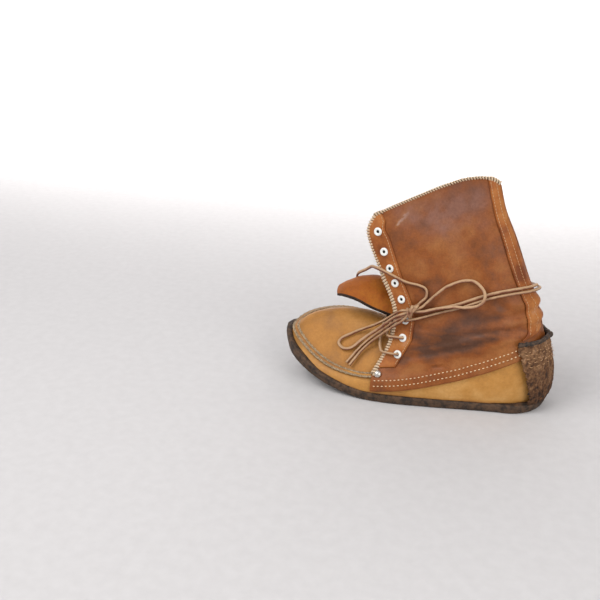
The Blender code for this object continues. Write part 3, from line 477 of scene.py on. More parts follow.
def grid_faces(rows, cols, start=0, closed=False):
    """Quads of a grid whose first vertex is numbered start; closed joins the last column to the first."""
    i, j = np.meshgrid(np.arange(rows - 1), np.arange(cols if closed else cols - 1), indexing="ij")
    n = (j + 1) % cols
    quads = np.stack([i * cols + j, i * cols + n, (i + 1) * cols + n, (i + 1) * cols + j], axis=-1)
    return (quads.reshape(-1, 4) + start).tolist()


def sheet(name, outer, back, mats, body, replaces, slot, tone=None, haze=None, edge=0.45):
    """Leather sheet between two grids: mats are its face, its back and its rounded edge."""
    rows, cols = outer.shape[:2]
    half = rows * cols
    wide = np.pad(outer, ((1, 1), (1, 1), (0, 0)), mode="reflect", reflect_type="odd")
    away = outer - (wide[2:, 1:-1] + wide[:-2, 1:-1]) / 2
    away[0], away[-1] = outer[0] - outer[1], outer[-1] - outer[-2]
    away[:, 0] += outer[:, 0] - outer[:, 1]
    away[:, -1] += outer[:, -1] - outer[:, -2]
    index = np.arange(half).reshape(rows, cols)
    rim = np.concatenate([index[0], index[1:, -1], index[-1, -2::-1], index[-2:0:-1, 0]])
    face, under, push = (a.reshape(-1, 3)[rim] for a in (outer, back, away))
    thick = np.linalg.norm(face - under, axis=1)[:, None]
    middle = (face + under) / 2 + unit(push) * thick * edge
    faces = grid_faces(rows, cols) + [f[::-1] for f in grid_faces(rows, cols, half)]
    picks = [0] * (len(faces) // 2) + [1] * (len(faces) // 2)
    for k in range(len(rim)):
        m = (k + 1) % len(rim)
        a, b, mid_a, mid_b = int(rim[k]), int(rim[m]), 2 * half + k, 2 * half + m
        faces += [[b, a, mid_a, mid_b], [mid_b, mid_a, a + half, b + half]]
        picks += [2, 2]
    verts = np.vstack([outer.reshape(-1, 3), back.reshape(-1, 3), middle])
    paint = np.zeros((2, len(verts)))
    for k, values in enumerate((tone, haze)):
        if values is not None:
            paint[k, :half] = values.reshape(-1)
            paint[k, 2 * half:] = values.reshape(-1)[rim]
    piece(name, (verts, faces), mats, body, replaces, slot, picks, *paint)


def tube(points, radius, sides=8, section=None, twist=0.0):
    """Vertices and faces of a closed tube along a path; section gives (x, y) for an angle."""
    points = np.asarray(points, float)
    along = unit(np.gradient(points, axis=0))
    side = np.zeros_like(along)
    side[0] = unit(np.cross(along[0], [0, 0, 1.0]))
    for k in range(1, len(points)):
        side[k] = unit(side[k - 1] - along[k] * (side[k - 1] @ along[k]))
    up = np.cross(along, side)
    angles = 2 * math.pi * np.arange(sides) / sides
    flat = np.array([section(a) if section else (math.cos(a), math.sin(a)) for a in angles])
    turn = twist * np.arange(len(points))
    c, s = np.cos(turn)[:, None, None], np.sin(turn)[:, None, None]
    x, y = flat[None, :, :1], flat[None, :, 1:]
    ring = (c * x - s * y) * side[:, None] + (s * x + c * y) * up[:, None]
    verts = (points[:, None] + np.broadcast_to(radius, len(points))[:, None, None] * ring).reshape(-1, 3)
    last = (len(points) - 1) * sides
    caps = [list(range(sides))[::-1], [last + k for k in range(sides)]]
    return verts, grid_faces(len(points), sides, 0, True) + caps


def join(parts):
    """One mesh of several (vertices, faces)."""
    verts, faces, start = [], [], 0
    for v, f in parts:
        verts.append(v)
        faces += [[i + start for i in face] for face in f]
        start += len(v)
    return np.vstack(verts), faces


def rough(points, scale, depth, octaves=3, seed=0):
    """Noise at each point: scale in millimetres, values between about -depth and depth."""
    shift = Vector((seed * 17.3, seed * 5.1, seed * 9.7))
    flat = np.asarray(points, float).reshape(-1, 3) / scale
    values = [noise.fractal(Vector(p) + shift, 1.0, 2.0, octaves) for p in flat]
    return np.array(values).reshape(np.shape(points)[:-1]) * depth


def jitter(points, scale, depth, octaves, seed):
    """Separate noise for x, y and z at each point."""
    return np.stack([rough(points, scale, depth, octaves, seed + k) for k in range(3)], axis=1)


def stroke(points, a, b, width):
    """1 on the line from a to b in side view, fading over a width and at its ends."""
    a, b = np.array(a, float), np.array(b, float)
    flat = points[..., [0, 2]]
    t = np.clip((flat - a) @ (b - a) / np.linalg.norm(b - a)**2, 0, 1)
    gap = np.linalg.norm(flat - a - t[..., None] * (b - a), axis=-1)
    return near(gap, width) * np.clip(4 * np.minimum(t, 1 - t) + 0.15, 0, 1)


def spots(points, marks):
    """Sum of round clouds in side view, each ((x, z), radius, amount)."""
    return sum(amount * near(np.hypot(points[..., 0] - x, points[..., 2] - z), radius)
               for (x, z), radius, amount in marks)


# ---- camera ----
def set_camera():
    place, ahead = Vector((0.1530, -0.8674, 0.4559)), Vector((-0.2942, 0.8789, -0.3755))
    data = bpy.data.cameras.new("camera")
    data.lens, data.sensor_width = 51.48, 36.0
    camera = bpy.data.objects.new("camera", data)
    right = ahead.cross(Vector((0, 0, 1))).normalized()
    turn = Matrix((right, right.cross(ahead).normalized(), -ahead.normalized())).transposed().to_4x4()
    camera.matrix_world = Matrix.Translation(place) @ turn
    bpy.context.scene.collection.objects.link(camera)
    bpy.context.scene.camera = camera


# ---- lace ----
KNOT_HEART = np.mean(KNOT, axis=0)
KNOT_REACH = 16          # a stretch that ends this close to the knot runs on into it
# the lace's turns round the knot: shift, height, lean, number of turns
KNOT_TURNS = ((0.3, 5.4, 0.12, 1.05), (3.0, 4.6, 0.7, 1.0), (-2.6, 4.4, -0.35, 1.0))
BOW = {"lace_loop_back": (LOOP_BACK, BOW_STEP, "knot"), "lace_loop_front": (LOOP_FRONT, BOW_STEP, "knot"),
       "lace_end_low": (END_LOW, WRAP_STEP, "bare"), "lace_end_high": (END_HIGH, WRAP_STEP, "bare")}


def lace_section(angle):
    """Rounded rectangle: wider than it is thick."""
    c, s = math.cos(angle), math.sin(angle)
    return math.copysign(abs(c) ** 0.6, c) * 0.98, math.copysign(abs(s) ** 0.6, s) * 0.72


def lace_piece(node, route, step, far_end, seed, lead=()):
    """One stretch of the lace, pale above and redder below."""
    route = np.array(route, float)
    path = np.vstack([*lead, curve(route, np.linspace(0, 1, int(run(route)[-1] / step) + 1))])
    for end in (0, -1):
        if np.linalg.norm(path[end] - KNOT_HEART) < KNOT_REACH:
            inside = [path[end] + (KNOT_HEART - path[end]) * 0.8]
            path = np.vstack([path, inside] if end else [inside, path])
    dense = curve(path, np.linspace(0, 1, len(path) * 4))
    dense += jitter(dense, 22, 0.12, 2, seed)
    verts, faces = tube(dense, LACE_D / 2 * 1.05, 12, lace_section, 0.02)
    middle = np.repeat(dense, 12, axis=0)
    verts += (verts - middle) * rough(verts, 5, 0.08, 2, seed)[:, None]
    away = verts - middle
    # painted light and shade: each point of the lace is lighter the more it faces up and darker the more it
    # faces down
    tone = 0.42 * away[:, 2] / np.linalg.norm(away, axis=1) - 0.02
    obj = piece(node + "_worn", (verts, faces), ["lace"], "boot", (node,), "lace", tone=tone)


def hole(side, number):
    """Quarter's face at an eyelet, its normal, the way to the front edge, and the face and normal there."""
    z = EYELET_Z[side][number - 1]
    point, n = shaft_at(side, EYELET_U, z)
    edge, edge_n = shaft_at(side, 0.01, z - 2)
    ahead = edge - point
    return point, n, unit(ahead - n * (ahead @ n)), edge, edge_n


def crossing(side, low, high, rise):
    """From inside the eyelet numbered low, out, over the throat, and up through the next eyelet opposite."""
    point, n, ahead, edge, edge_n = hole(side, low)
    over, over_n, over_ahead, far_edge, far_n = hole(-side, high)
    last = edge + edge_n * (LACE_OUT + 0.9) + ahead * 3.8
    under = far_edge + far_n * LACE_IN + over_ahead * 2
    return [point + n * 4.4, point + n * 6.2 + ahead * 1.8, point + n * 6.0 + ahead * 6, last,
            (last + under) / 2 + np.array(rise), under, over + over_n * (LACE_IN - 2.6) + over_ahead * 4.5,
            over + over_n * (LACE_IN - 2.4) + over_ahead * 1.3, over + over_n * (LACE_IN - 0.9)]


def build_lace():
    for node, side, rises, wrap in (("lace_strand_a", -1, CROSS_HIGH, NEAR_LOW + FAR_HIGH + OVER_TONGUE),
                                    ("lace_strand_b", 1, CROSS_LOW, FAR_LOW[::-1] + NEAR_HIGH[::-1])):
        point, n = hole(side, 8)[:2]
        last, last_n, ahead = hole(side, 6)[:3]
        lead = [point + n * (LACE_IN - 2), *crossing(side, 8, 7, rises[0]), *crossing(-side, 7, 6, rises[1]),
                last + last_n * 4.4]
        lace_piece(node, [last + last_n * 6.2 - ahead * 2, *wrap], WRAP_STEP, "knot", 3 - side, lead)
    for k, (node, stretch) in enumerate(BOW.items()):
        lace_piece(node, *stretch, 11 + k)
    build_knot()


def build_knot():
    """The strands that meet, with one upright turn and two slanting turns of lace round them."""
    t = np.linspace(0, 1, 14)
    parts = [tube(curve(KNOT, t), np.interp(t, [0, 0.5, 1], [1.8, 3.3, 1.8]), 12)]
    for shift, tall, lean, turns in KNOT_TURNS:
        angle = 2 * math.pi * turns * np.linspace(0, 1, 40) + 0.6
        path = KNOT_HEART + np.column_stack([shift + lean * tall * np.sin(angle), -3.7 * np.cos(angle) - 0.4,
                                             shift * 0.9 + tall * np.sin(angle)])
        parts.append(tube(path, LACE_D / 2 * 1.02, 10, lace_section, 0.02))
    verts, faces = join(parts)
    # painted light and shade: the knot is lighter above its middle and darker below, with random tone added
    tone = 0.12 * np.clip((verts[:, 2] - KNOT_HEART[2]) / 5, -1, 1) + rough(verts, 3.5, 0.2, 2, 5)
    piece("lace_knot_wrapped", (verts, faces), ["lace"], "boot", ("lace_knot",), "lace", tone=tone)


# ---- stitches and edge threads ----
def stitches(name, path, out, pitch, radius, body, mat, fill):
    """Row of short thread stitches along a path, each half sunk in the leather."""
    length = run(path)
    parts = []
    for k in range(int(length[-1] / pitch)):
        at = np.array([0.0, 0.2, 0.5, 0.8, 1.0]) * pitch * fill + k * pitch + pitch * 0.2
        stand = radius * np.array([-0.6, 0.25, 0.5, 0.25, -0.6])
        line = read(path, at, length) + read(out, at, length) * stand[:, None]
        parts.append(tube(line, radius * np.array([0.6, 1, 1, 1, 0.6]), 6))
    piece(name, join(parts), [mat], body, slot="seam")


def wrapped_edge(name, path, out, reach, pitch, radius, body):
    """Dark cord along an edge with pale thread wound round it; reach is how far the thread stands out."""
    piece(name + "_core", tube(path, reach * 0.8, 8), ["core"], body, slot="seam")
    length = run(path)
    t = np.linspace(0, length[-1], int(length[-1] / pitch * 12))
    line, side = read(path, t, length), read(out, t, length)
    angle = 2 * math.pi * t / pitch + rough(line, 9, 0.5, 2, 3)
    over = np.cross(unit(np.gradient(line, axis=0)), side)
    turn = np.cos(angle)[:, None] * side + np.sin(angle)[:, None] * over
    line = line + 0.8 * np.interp(t, length, reach)[:, None] * turn
    radii = np.interp(t, length, np.broadcast_to(radius, len(length)))
    piece(name, tube(line, radii, 6), ["cream"], body, slot="seam")


# ---- sole and foot ----
GATHER = 5.6     # pitch of the toe's gathers, and of the braid sewn over them
VAMP_FOOT = 9.0  # how far the vamp turns in under the foot
BUMPER = 7.0     # how far the rubber climbs up the toe above its height elsewhere
RIM_WIDE = 3.0   # how far the sole's rim stands out further at the toe
SOLE_PROFILE = [(7, 0), (3.0, 0.0), (1.8, 0.3), (1.0, 1.2), (0.6, 2.6), (0.3, 4.4), (0.0, 6.2), (0.1, 8.0),
                (0.5, 9.4), (1.2, 10.0), (4.3, 10.0), (4.4, 8.5), (4.4, 6.5), (8, 6.5)]    # inset, height


def round_ends(points):
    """The tip of the toe is drawn in a little and the heel rounds under towards the ground."""
    points = np.array(points, float)
    points[..., 0] += 2.4 * share(points[..., 0], -132, -150)
    points[..., 0] -= 6.5 * share(points[..., 2], 20, 0) * share(points[..., 0], 112, 142)
    return points


def ring_piece(name, rings, mats, replaces, slot, tone=None, picks=None):
    """Closed rings joined by walls, with a flat strip of faces across the first and the last."""
    cols = len(rings[0])
    faces = grid_faces(len(rings), cols, 0, True)
    picks = [0] * len(faces) if picks is None else list(picks)
    for start, flip in ((0, True), ((len(rings) - 1) * cols, False)):
        for j in range(cols // 2):
            quad = list(dict.fromkeys([start + j, start + j + 1, start + (cols - j - 1) % cols,
                                       start + (cols - j) % cols]))
            if len(quad) > 2:
                faces.append(quad if flip else quad[::-1])
                picks.append(picks[0 if flip else -1])
    verts = np.vstack([round_ends(ring) for ring in rings])
    piece(name, (verts, faces), mats, "boot", replaces, slot, picks, tone)


def build_sole():
    rings = []
    for k, (inset, height) in enumerate(SOLE_PROFILE):
        ring = sole_ring(inset, height)
        climb = share(ring[:, 0], -95, -145) * (height / SOLE_THICK) ** 2
        if 5 < k < 11:
            ring[:, 2] += BUMPER * climb
            ring[:, :2] += OUT * (0.9 * climb)[:, None]
        if 0 < k < 10:
            ring[:, :2] += OUT * (RIM_WIDE * share(ring[:, 0], -55, -100))[:, None]
        if 1 < k < 10:
            ring = ring + OUT_3D * (rough(ring, 7, 0.35, 3, 2) - 0.25)[:, None]
            ring[:, 2] += rough(ring, 16, 0.25, 2, 4) * (1 if k > 6 else 0)
        rings.append(ring)
    ring_piece("outsole_worn", rings, ["rubber"], ("outsole",), "rubber")


def build_vamp():
    top = 1 - share(OUTLINE[:, 0], -30, -44) * 1.2 / WALL_HIGH
    low = 3.5 / WALL_HIGH
    toe = share(OUTLINE[:, 0], -66, -106)
    pucker = np.sin(run(WALL_TOP) / GATHER * 2 * math.pi) * 0.32 * toe
    plain = np.zeros(len(OUTLINE))
    shares = np.concatenate([[0, 0.015], np.linspace(0.05, 1, 26)])
    rings, tone = [sole_ring(WALL_INSET + VAMP_FOOT, SOLE_THICK + GAP)], [plain]
    for up in shares:
        ring = wall(top * up)
        ring = ring + OUT_3D * (rough(ring, 26, 0.35, 3, 7) + pucker * up**3 - 0.15)[:, None]
        rings.append(ring)
        # painted shade: darker just under the toe seam's ridge and along the foot where the vamp meets the
        # sole
        edges = 0.10 * near(up - 1, 0.08) + 0.22 * near(up, 0.05)
        tone.append(0.05 * share(ring[:, 0], 60, 100) + rough(ring, 40, 0.10, 2, 9) - edges)
    for up in np.linspace(1, 0, 9):
        ring = wall(low + (top - low) * up, -2.0)
        ring[:, 2] = np.maximum(ring[:, 2], WALL_BASE[:, 2] + 2.0)
        rings.append(ring)
        tone.append(plain)
    rings.append(sole_ring(WALL_INSET + VAMP_FOOT, SOLE_THICK + GAP + 2.0))
    tone.append(plain)
    picks = [int(i > len(shares)) for i in range(len(rings) - 1) for _ in plain]
    ring_piece("vamp_leather", rings, ["tan", "flesh"], ("vamp",), "tan", np.concatenate(tone), picks)


def seam_side(side, count):
    return read(one_side(WALL_TOP, side), np.linspace(0, ring_index(side, SEAM_END_X), count))


SEAM_R, BRAID_R = 2.1, 0.8
BRAIDS = ((2.9, 0.4), (-2.5, 1.7))               # away from the seam's middle and above it
PLUG_COLS, PLUG_ROWS = 40, 44
TUCK_T = [0, 0.2, 0.35, 0.5, 0.65, 0.8, 1.0]     # how far the plug's rear edge is tucked under the quarters
TUCK = [(6, 1.5, 1), (8, 2, 3), (6, 2, 3), (2, 0, 0.5), (0, 0, 0), (5, -1.5, 2), (6, -1.5, 1)]


def build_plug():
    t = np.linspace(0, 1, PLUG_COLS)
    crest = curve(PLUG_CREST, np.linspace(0, 1, PLUG_ROWS))
    rows = []
    for arch in list(zip(seam_side(-1, PLUG_ROWS), crest, seam_side(1, PLUG_ROWS)))[1:-1]:
        inset = 1.4 / run(arch)[-1]
        rows.append(curve(arch, inset + (1 - 2 * inset) * t))
    last, edge = rows[-1], curve(THROAT_EDGE, t)
    rows += [last + (edge - last) * part for part in (0.5, 1.0)]
    rows += [edge + read(TUCK, t, TUCK_T) * part for part in (0.35, 0.7, 1.0)]
    grid = round_ends(rows)
    n = normals(grid, 2)
    border = from_end(PLUG_COLS) * np.ones((len(rows), 1))
    high = rough(grid, 24, 0.55, 3, 3) + rough(grid, 5, 0.10, 2, 8) - 0.7 * np.exp(-border / 1.5)
    grid = grid + n * high[..., None]
    # painted shade along both sides where the plug runs under the seam's ridge; painted light and shade make
    # the top of the plug lighter and its lower sides darker
    tone = rough(grid, 34, 0.10, 2, 4) - 0.16 * np.exp(-border / 1.3)
    tone += 0.04 * np.clip((grid[..., 2] - 60) / 20, -1, 1)
    sheet("plug_pebbled", grid, grid - n * LEATHER, ["plug", "flesh", "plug"], "boot", ("plug",), "tan",
          tone)


def build_toe_seam():
    """Raised ridge with two rows of braided thread."""
    path = np.vstack([seam_side(-1, 150)[:0:-1], seam_side(1, 150)])
    ends = [path[0] + (path[0] - path[1]) * 2.5, path[-1] + (path[-1] - path[-2]) * 2.5]
    path = round_ends(resample(np.vstack([ends[:1], path, ends[1:]]), 420))
    path[:, 2] += 0.4
    along = unit(np.gradient(path, axis=0))
    side = unit(np.cross(along, [0, 0, 1.0]))
    side *= np.sign(np.sum((path - [-70, 7, 0])[:, :2] * side[:, :2], axis=1))[:, None]
    up = np.cross(along, side)
    up *= np.sign(up[:, 2])[:, None]
    ridge = path + up * rough(path, 4.0, 0.18, 2, 6)[:, None]
    verts, faces = tube(ridge, SEAM_R + rough(path, 6.0, 0.12, 2, 1), 12)
    piece("toe_seam_ridge", (verts, faces), ["tan"], "boot", ("toe_seam",), "tan",
          tone=rough(verts, 5, 0.10, 2, 2) - 0.16)
    for row, (away, height) in enumerate(BRAIDS):
        strands = []
        for phase in (0.0, math.pi):
            wave = 2 * math.pi * run(path) / GATHER + phase + row
            line = path + side * (away + 1.05 * np.sin(wave))[:, None]
            strands.append(tube(line + up * (height + 0.35 * np.cos(2 * wave + phase))[:, None], BRAID_R, 6))
        piece(f"toe_seam_braid_{row + 1}", join(strands), ["braid"], "boot", slot="seam")


# ---- shaft ----
CREASES = {  # lines in side view, (x, z) to (x, z), width, depth
    -1: [((-12, 50), (95, 84), 4, 1.5), ((-6, 60), (60, 82), 3, 1.3), ((20, 77), (111, 98), 3.5, 1.4),
         ((5, 70), (45, 80), 2.5, 0.9), ((55, 101), (118, 112), 4.5, 1.0), ((84, 120), (118, 108), 5, 1.3),
         ((92, 90), (124, 95), 4.5, 1.3), ((0, 88), (50, 92), 5, 0.8), ((-8, 110), (36, 100), 6, 0.8),
         ((50, 128), (100, 122), 6, 0.9), ((24, 47), (38, 50), 1.6, 1.0), ((-10, 190), (40, 222), 12, 0.8)],
    1: [((-24, 52), (40, 60), 4.5, 1.4), ((10, 70), (75, 84), 6, 1.2), ((84, 118), (118, 108), 5, 1.3),
        ((90, 92), (124, 92), 4.5, 1.3), ((0, 84), (50, 78), 6, 1.0), ((50, 128), (100, 122), 6, 0.9),
        ((-10, 110), (60, 96), 7, 1.0)],
}
# clouds in side view: (x, z), radius, change of tone
STAINS = [((-3, 50), 8, -0.16), ((4, 60), 10, -0.13), ((20, 58), 10, -0.15), ((42, 66), 11, -0.14),
          ((46, 80), 16, -0.1), ((22, 72), 12, -0.05), ((68, 86), 15, -0.09), ((92, 90), 13, -0.07),
          ((14, 78), 14, -0.06), ((64, 104), 12, -0.08), ((47, 92), 10, -0.04), ((55, 233), 9, -0.13),
          ((4, 192), 12, -0.1), ((-26, 190), 9, -0.06), ((24, 165), 26, 0.04), ((66, 154), 20, 0.05),
          ((-6, 150), 16, 0.03), ((30, 130), 20, 0.03), ((84, 140), 10, -0.05), ((40, 120), 14, -0.03),
          ((-4, 120), 10, 0.05)]
# where the bloom lies: (x, z), radius, strength
BLOOM = [((10, 205), 20, 0.8), ((40, 218), 18, 0.9), ((60, 226), 12, 0.6), ((-16, 200), 14, 0.5),
         ((30, 192), 16, 0.5), ((64, 200), 10, 0.3), ((20, 100), 16, 0.25), ((60, 90), 20, 0.3),
         ((92, 100), 12, 0.25), ((10, 68), 12, 0.25)]
# light lines in side view, on the outer side only: from, to, width, change of tone
SCRATCHES = [((-28, 186), (-15, 203), 1.8, 0.5), ((-26, 193), (-16, 196), 1.6, 0.35),
             ((-5, 207), (3, 216), 1.5, 0.35), ((10, 221), (20, 226), 1.2, 0.3),
             ((-20, 198), (-12, 206), 3.2, 0.3)]


def relief(grid, side):
    """Creases, slumps and fine unevenness of the soft shaft leather, along its normal."""
    total = rough(grid, 38, 1.0, 3, 20 + side) + rough(grid, 11, 0.28, 2, 30 + side)
    wrinkled = near(grid[..., 2] - 85 - 0.2 * grid[..., 0], 30)
    total = total + wrinkled * rough(grid * np.array([0.35, 0.35, 1.3]), 7, 0.5, 3, 35 + side)
    for a, b, width, depth in CREASES[side]:
        ridge = stroke(grid, (a[0], a[1] + width * 1.7), (b[0], b[1] + width * 1.7), width)
        total = total - depth * stroke(grid, a, b, width) + 0.5 * depth * ridge
    return total


def shades(grid, side):
    """Painted tone of the shaft: stains, painted shade in creases, scratches, and a light band above the lower
    edge.
    """
    tone = rough(grid, 30, 0.16, 4, 40 + side) + rough(grid, 9, 0.05, 2, 50 + side) + spots(grid, STAINS)
    # painted shade in the creases: each crease is darkened along its line
    for a, b, width, depth in CREASES[side]:
        tone = tone - 0.07 * depth * stroke(grid, a, b, width * 0.8)
    for a, b, width, amount in SCRATCHES if side < 0 else ():
        broken = np.clip(rough(grid, 4, 1.0, 2, 60) + 0.6, 0, 1)
        tone = tone + amount * stroke(grid, a, b, width) * broken
    low = near(grid[..., 2] - 37 - 0.37 * grid[..., 0], 7) * (grid[..., 2] < 100)
    folds = near(grid[..., 2] - 62 - 0.3 * grid[..., 0], 20)
    return tone + 0.10 * low + folds * rough(grid * np.array([0.25, 0.25, 1.4]), 6, 0.14, 3, 58)


def hazes(grid, side):
    """How much the leather is clouded with bloom."""
    haze = 0.02 + rough(grid, 26, 0.22, 3, 45 + side) + spots(grid, BLOOM)
    haze = np.clip(haze * (0.8 + rough(grid, 8, 0.4, 2, 48)), 0, 0.85)
    return haze * np.clip((grid[..., 2] - 60) / 60, 0.4, 1)


def shaft_grid(side, u, v):
    """Shaft surface, its normals, its relief and its tones."""
    flat = shaft(side, u, v)
    calm = np.minimum(1, np.minimum(v[:, None] / 0.06, (1 - v[:, None]) / 0.05)) * np.ones((1, len(u)))
    return flat, normals(flat, 1) * side, relief(flat, side) * np.clip(calm, 0.15, 1), shades(flat, side)


FACING_V, FACING_END = [0.14, 0.3, 0.84, 0.93, 1.0], [0.11, 0.16, 0.16, 0.13, 0.03]


def tapered(side, shares, v):
    """Shaft surface between the front edge and the facing's rear edge, which narrows towards both ends."""
    u = np.linspace(0, 0.18, 40)
    ends = np.interp(v, FACING_V, FACING_END)
    result = []
    for grid in shaft_grid(side, u, v):
        rows = np.array([read(row.reshape(len(u), -1), shares * end, u) for row, end in zip(grid, ends)])
        result.append(rows if grid.ndim == 3 else rows[..., 0])
    return result


def at_height(side, u, height):
    """Points and normals on the quarter's face at a height above its lower edge."""
    flat, n, high, _ = shaft_grid(side, u, np.linspace(0, 0.3, 60))
    both = np.concatenate([flat + n * high[..., None], n], axis=-1)
    length = run(flat)
    rows = np.array([read(both[:, j], [height], length[:, j])[0] for j in range(len(u))])
    return rows[:, :3], rows[:, 3:]


ROW_HEIGHTS = (5.6, 11.7)        # stitch rows above the quarters' lower edge
ROW_END_X = 117                  # where they run under the heel cup
ROW_STITCH = (4.4, 0.58)         # pitch and thread radius
STRAP_STITCH = (3.2, 0.36)
WHIP_Z, WHIP_REACH = [28, 60, 80, 135, 150], [2.5, 2.3, 2.8, 2.9, 1.9]


def build_shaft():
    for side in (-1, 1):
        name, span = SIDE_NAME[side], fold_span(side)
        u, v = np.linspace(0, 1, 110), np.linspace(0, 1, 130)
        flat, n, high, tone = shaft_grid(side, u, v)
        grid = flat + n * (high * np.clip((1 - u) / 0.1, 0.3, 1))[..., None]
        grid[..., 1] = side * np.maximum(side * grid[..., 1], BACK_SEAM_Y)
        back = grid - n * LEATHER
        back[..., 1] = side * np.maximum(side * back[..., 1], BACK_SEAM_Y)
        tone = tone + 0.05 * near(v[:, None] - 0.02, 0.02)
        sheet(f"quarter_{name}_leather", grid, back, ["brown", "flesh", "orange"], span,
              (f"quarter_{name}", f"collar_flap_{name}"), "brown", tone, hazes(grid, side))
        flat, n, high, tone = tapered(side, np.linspace(0, 1, 22), np.linspace(0.14, 1, 130))
        high = high + rough(flat, 14, 0.2, 2, 70 + side)
        edge = np.exp(-from_end(22) / 1.2)
        sheet(f"facing_{name}_strap", flat + n * (high + STRAP_TOP + 0.1 - 0.5 * edge)[..., None],
              flat + n * (high + FACING_GAP - 0.5)[..., None], ["orange", "flesh", "orange"], span,
              (f"facing_{name}", f"facing_top_{name}"), "orange", tone * 0.5 + 0.02 - 0.08 * edge)
        build_threads(side, name, span)
        build_eyelets(side, name)


def build_threads(side, name, span):
    """Stitch rows and whipped edges of one half of the shaft."""
    for row, height in enumerate(ROW_HEIGHTS):
        line, out = at_height(side, np.linspace(0.01, 0.985, 240), height)
        keep = line[:, 0] < ROW_END_X
        stitches(f"row_{name}_{row + 1}", line[keep], out[keep], *ROW_STITCH, "boot", "stitch", 0.4)
    flat, n, high, _ = tapered(side, np.array([0.93, 0.97]), np.linspace(0.15, 0.985, 240))
    line = flat[:, 0] + n[:, 0] * (high[:, 0] + STRAP_TOP)[:, None]
    stitches(f"facing_row_{name}", line, n[:, 0], *STRAP_STITCH, span, "tan_thread", 0.8)
    flat, n, high, _ = shaft_grid(side, np.array([0.0, 0.012, 0.024]), np.linspace(0.1, 1, 500))
    line = flat[:, 0] + n[:, 0] * (high[:, 0] + 0.9)[:, None] + unit(flat[:, 1] - flat[:, 0]) * 1.2
    reach = np.interp(line[:, 2], WHIP_Z, WHIP_REACH)
    wrapped_edge(f"whip_front_{name}", line, n[:, 0], reach, 3.2, 0.7 + 0.22 * reach, span)
    u = np.linspace(0.0, 0.985, 600)
    flat, n, high, _ = shaft_grid(side, u, np.array([0.976, 0.988, 1.0]))
    covered = np.interp(u, [0.03, 0.06, 0.89, 0.91], [1, 0, 0, 1])
    line = flat[2] + n[2] * (high[2] - 0.4 + 1.2 * covered)[:, None]
    wrapped_edge(f"whip_top_{name}", line, n[2], 1.4 + 1.0 * covered, 2.9, 0.8, span)


def lathe(profile, center, axis, segments=28):
    """Vertices and faces of a profile (radius, height) turned round an axis."""
    side = unit(np.cross(axis, [0, 0, 1.0]))
    other = np.cross(axis, side)
    angles = 2 * math.pi * np.arange(segments) / segments
    rings = [[center + axis * h + r * (math.cos(a) * side + math.sin(a) * other) for a in angles]
             for r, h in profile]
    return np.array(rings).reshape(-1, 3), grid_faces(len(profile), segments, 0, True)


FLANGE_IN = 1.6          # inner radius of an eyelet's rounded flange
BARREL_END = -LEATHER - STRAP - 1.2
EYELET = [(EYELET_HOLE_R, BARREL_END), (EYELET_HOLE_R, -0.8)]
EYELET += [((EYELET_R + FLANGE_IN) / 2 - (EYELET_R - FLANGE_IN) / 2 * math.cos(a), 0.35 + 0.95 * math.sin(a))
           for a in np.linspace(0, math.pi, 9)]
EYELET += [(EYELET_R - 0.2, -0.3), (EYELET_BARREL_R, -0.5), (EYELET_BARREL_R, BARREL_END), EYELET[0]]
SHADOW = [(0.01, 0.3), (1.8, 0.3), (1.8, 0.0), (0.01, 0.0)]
DOME = [(0.01, 0.6), (4.0, 0.7), (4.15, 1.2), (3.9, 1.9), (3.2, 2.7), (2.2, 3.3), (1.1, 3.65), (0.01, 3.75)]


def build_eyelets(side, name):
    for k, z in enumerate(EYELET_Z[side]):
        point, n = shaft_at(side, EYELET_U, z)
        center = point + n * (relief(np.array([[point]]), side)[0, 0] + STRAP_TOP + 0.45)
        body = f"lapel_{name}" if k < 2 else "boot"
        piece(f"eyelet_ring_{name}_{k + 1}", lathe(EYELET, center, n), ["enamel"], body,
              (f"eyelet_{name}_{k + 1}",), "white")
        piece(f"eyelet_shadow_{name}_{k + 1}", lathe(SHADOW, center, n, 16), ["dark"], body)
    dome = lathe(DOME, *shaft_at(side, RIVET_U, RIVET_Z[side]))
    piece(f"rivet_dome_{name}", dome, ["rivet"], "boot", (f"throat_rivet_{name}",), "metal")


BACK_BULGES = ((119, 5.5, 3.2), (103, 4.5, 2.6), (111, 3.0, -1.5), (95, 3, -1.2))    # height, width, depth


def build_backstay():
    u, v = np.linspace(0.9, 0.9667, 16), np.linspace(0.16, 1, 150)
    halves = {side: shaft_grid(side, u, v) for side in (-1, 1)}
    bulge = sum(depth * near(halves[-1][0][..., 2] - z, width) for z, width, depth in BACK_BULGES)
    push = np.stack([bulge * np.linspace(0.15, 1, len(u)), 0 * bulge, 0 * bulge], axis=-1)

    def strap(offset):
        """Both halves' surface at an offset, joined by a rounded strip over the seam."""
        left, right = (flat + n * (high * np.clip((1 - u) / 0.1, 0.3, 1) + offset)[..., None] + push
                       for flat, n, high, _ in (halves[-1], halves[1]))
        a, b = left[:, -1], right[:, -1]
        steps = np.linspace(0, 1, 9)[1:-1]
        middle = [a + (b - a) * t + np.array([1, 0, 0.2]) * 6.4 * t * (1 - t) for t in steps]
        return np.concatenate([left, np.stack(middle, axis=1), right[:, ::-1]], axis=1)

    top = strap(STRAP_TOP + 0.1)
    cols = top.shape[1]
    tone = rough(top, 18, 0.14, 3, 81) + 0.02 - 0.10 * np.exp(-from_end(cols) / 1.0)
    sheet("backstay_strap", top, strap(FACING_GAP - 0.4), ["orange", "flesh", "orange"], "boot",
          ("backstay",), "orange", tone)
    n = normals(top, 0)
    for label, col in (("a", 2), ("b", 11), ("c", cols - 12), ("d", cols - 3)):
        stitches(f"backstay_row_{label}", top[6:, col], n[6:, col], 3.4, 0.34, "boot", "tan_thread", 0.8)


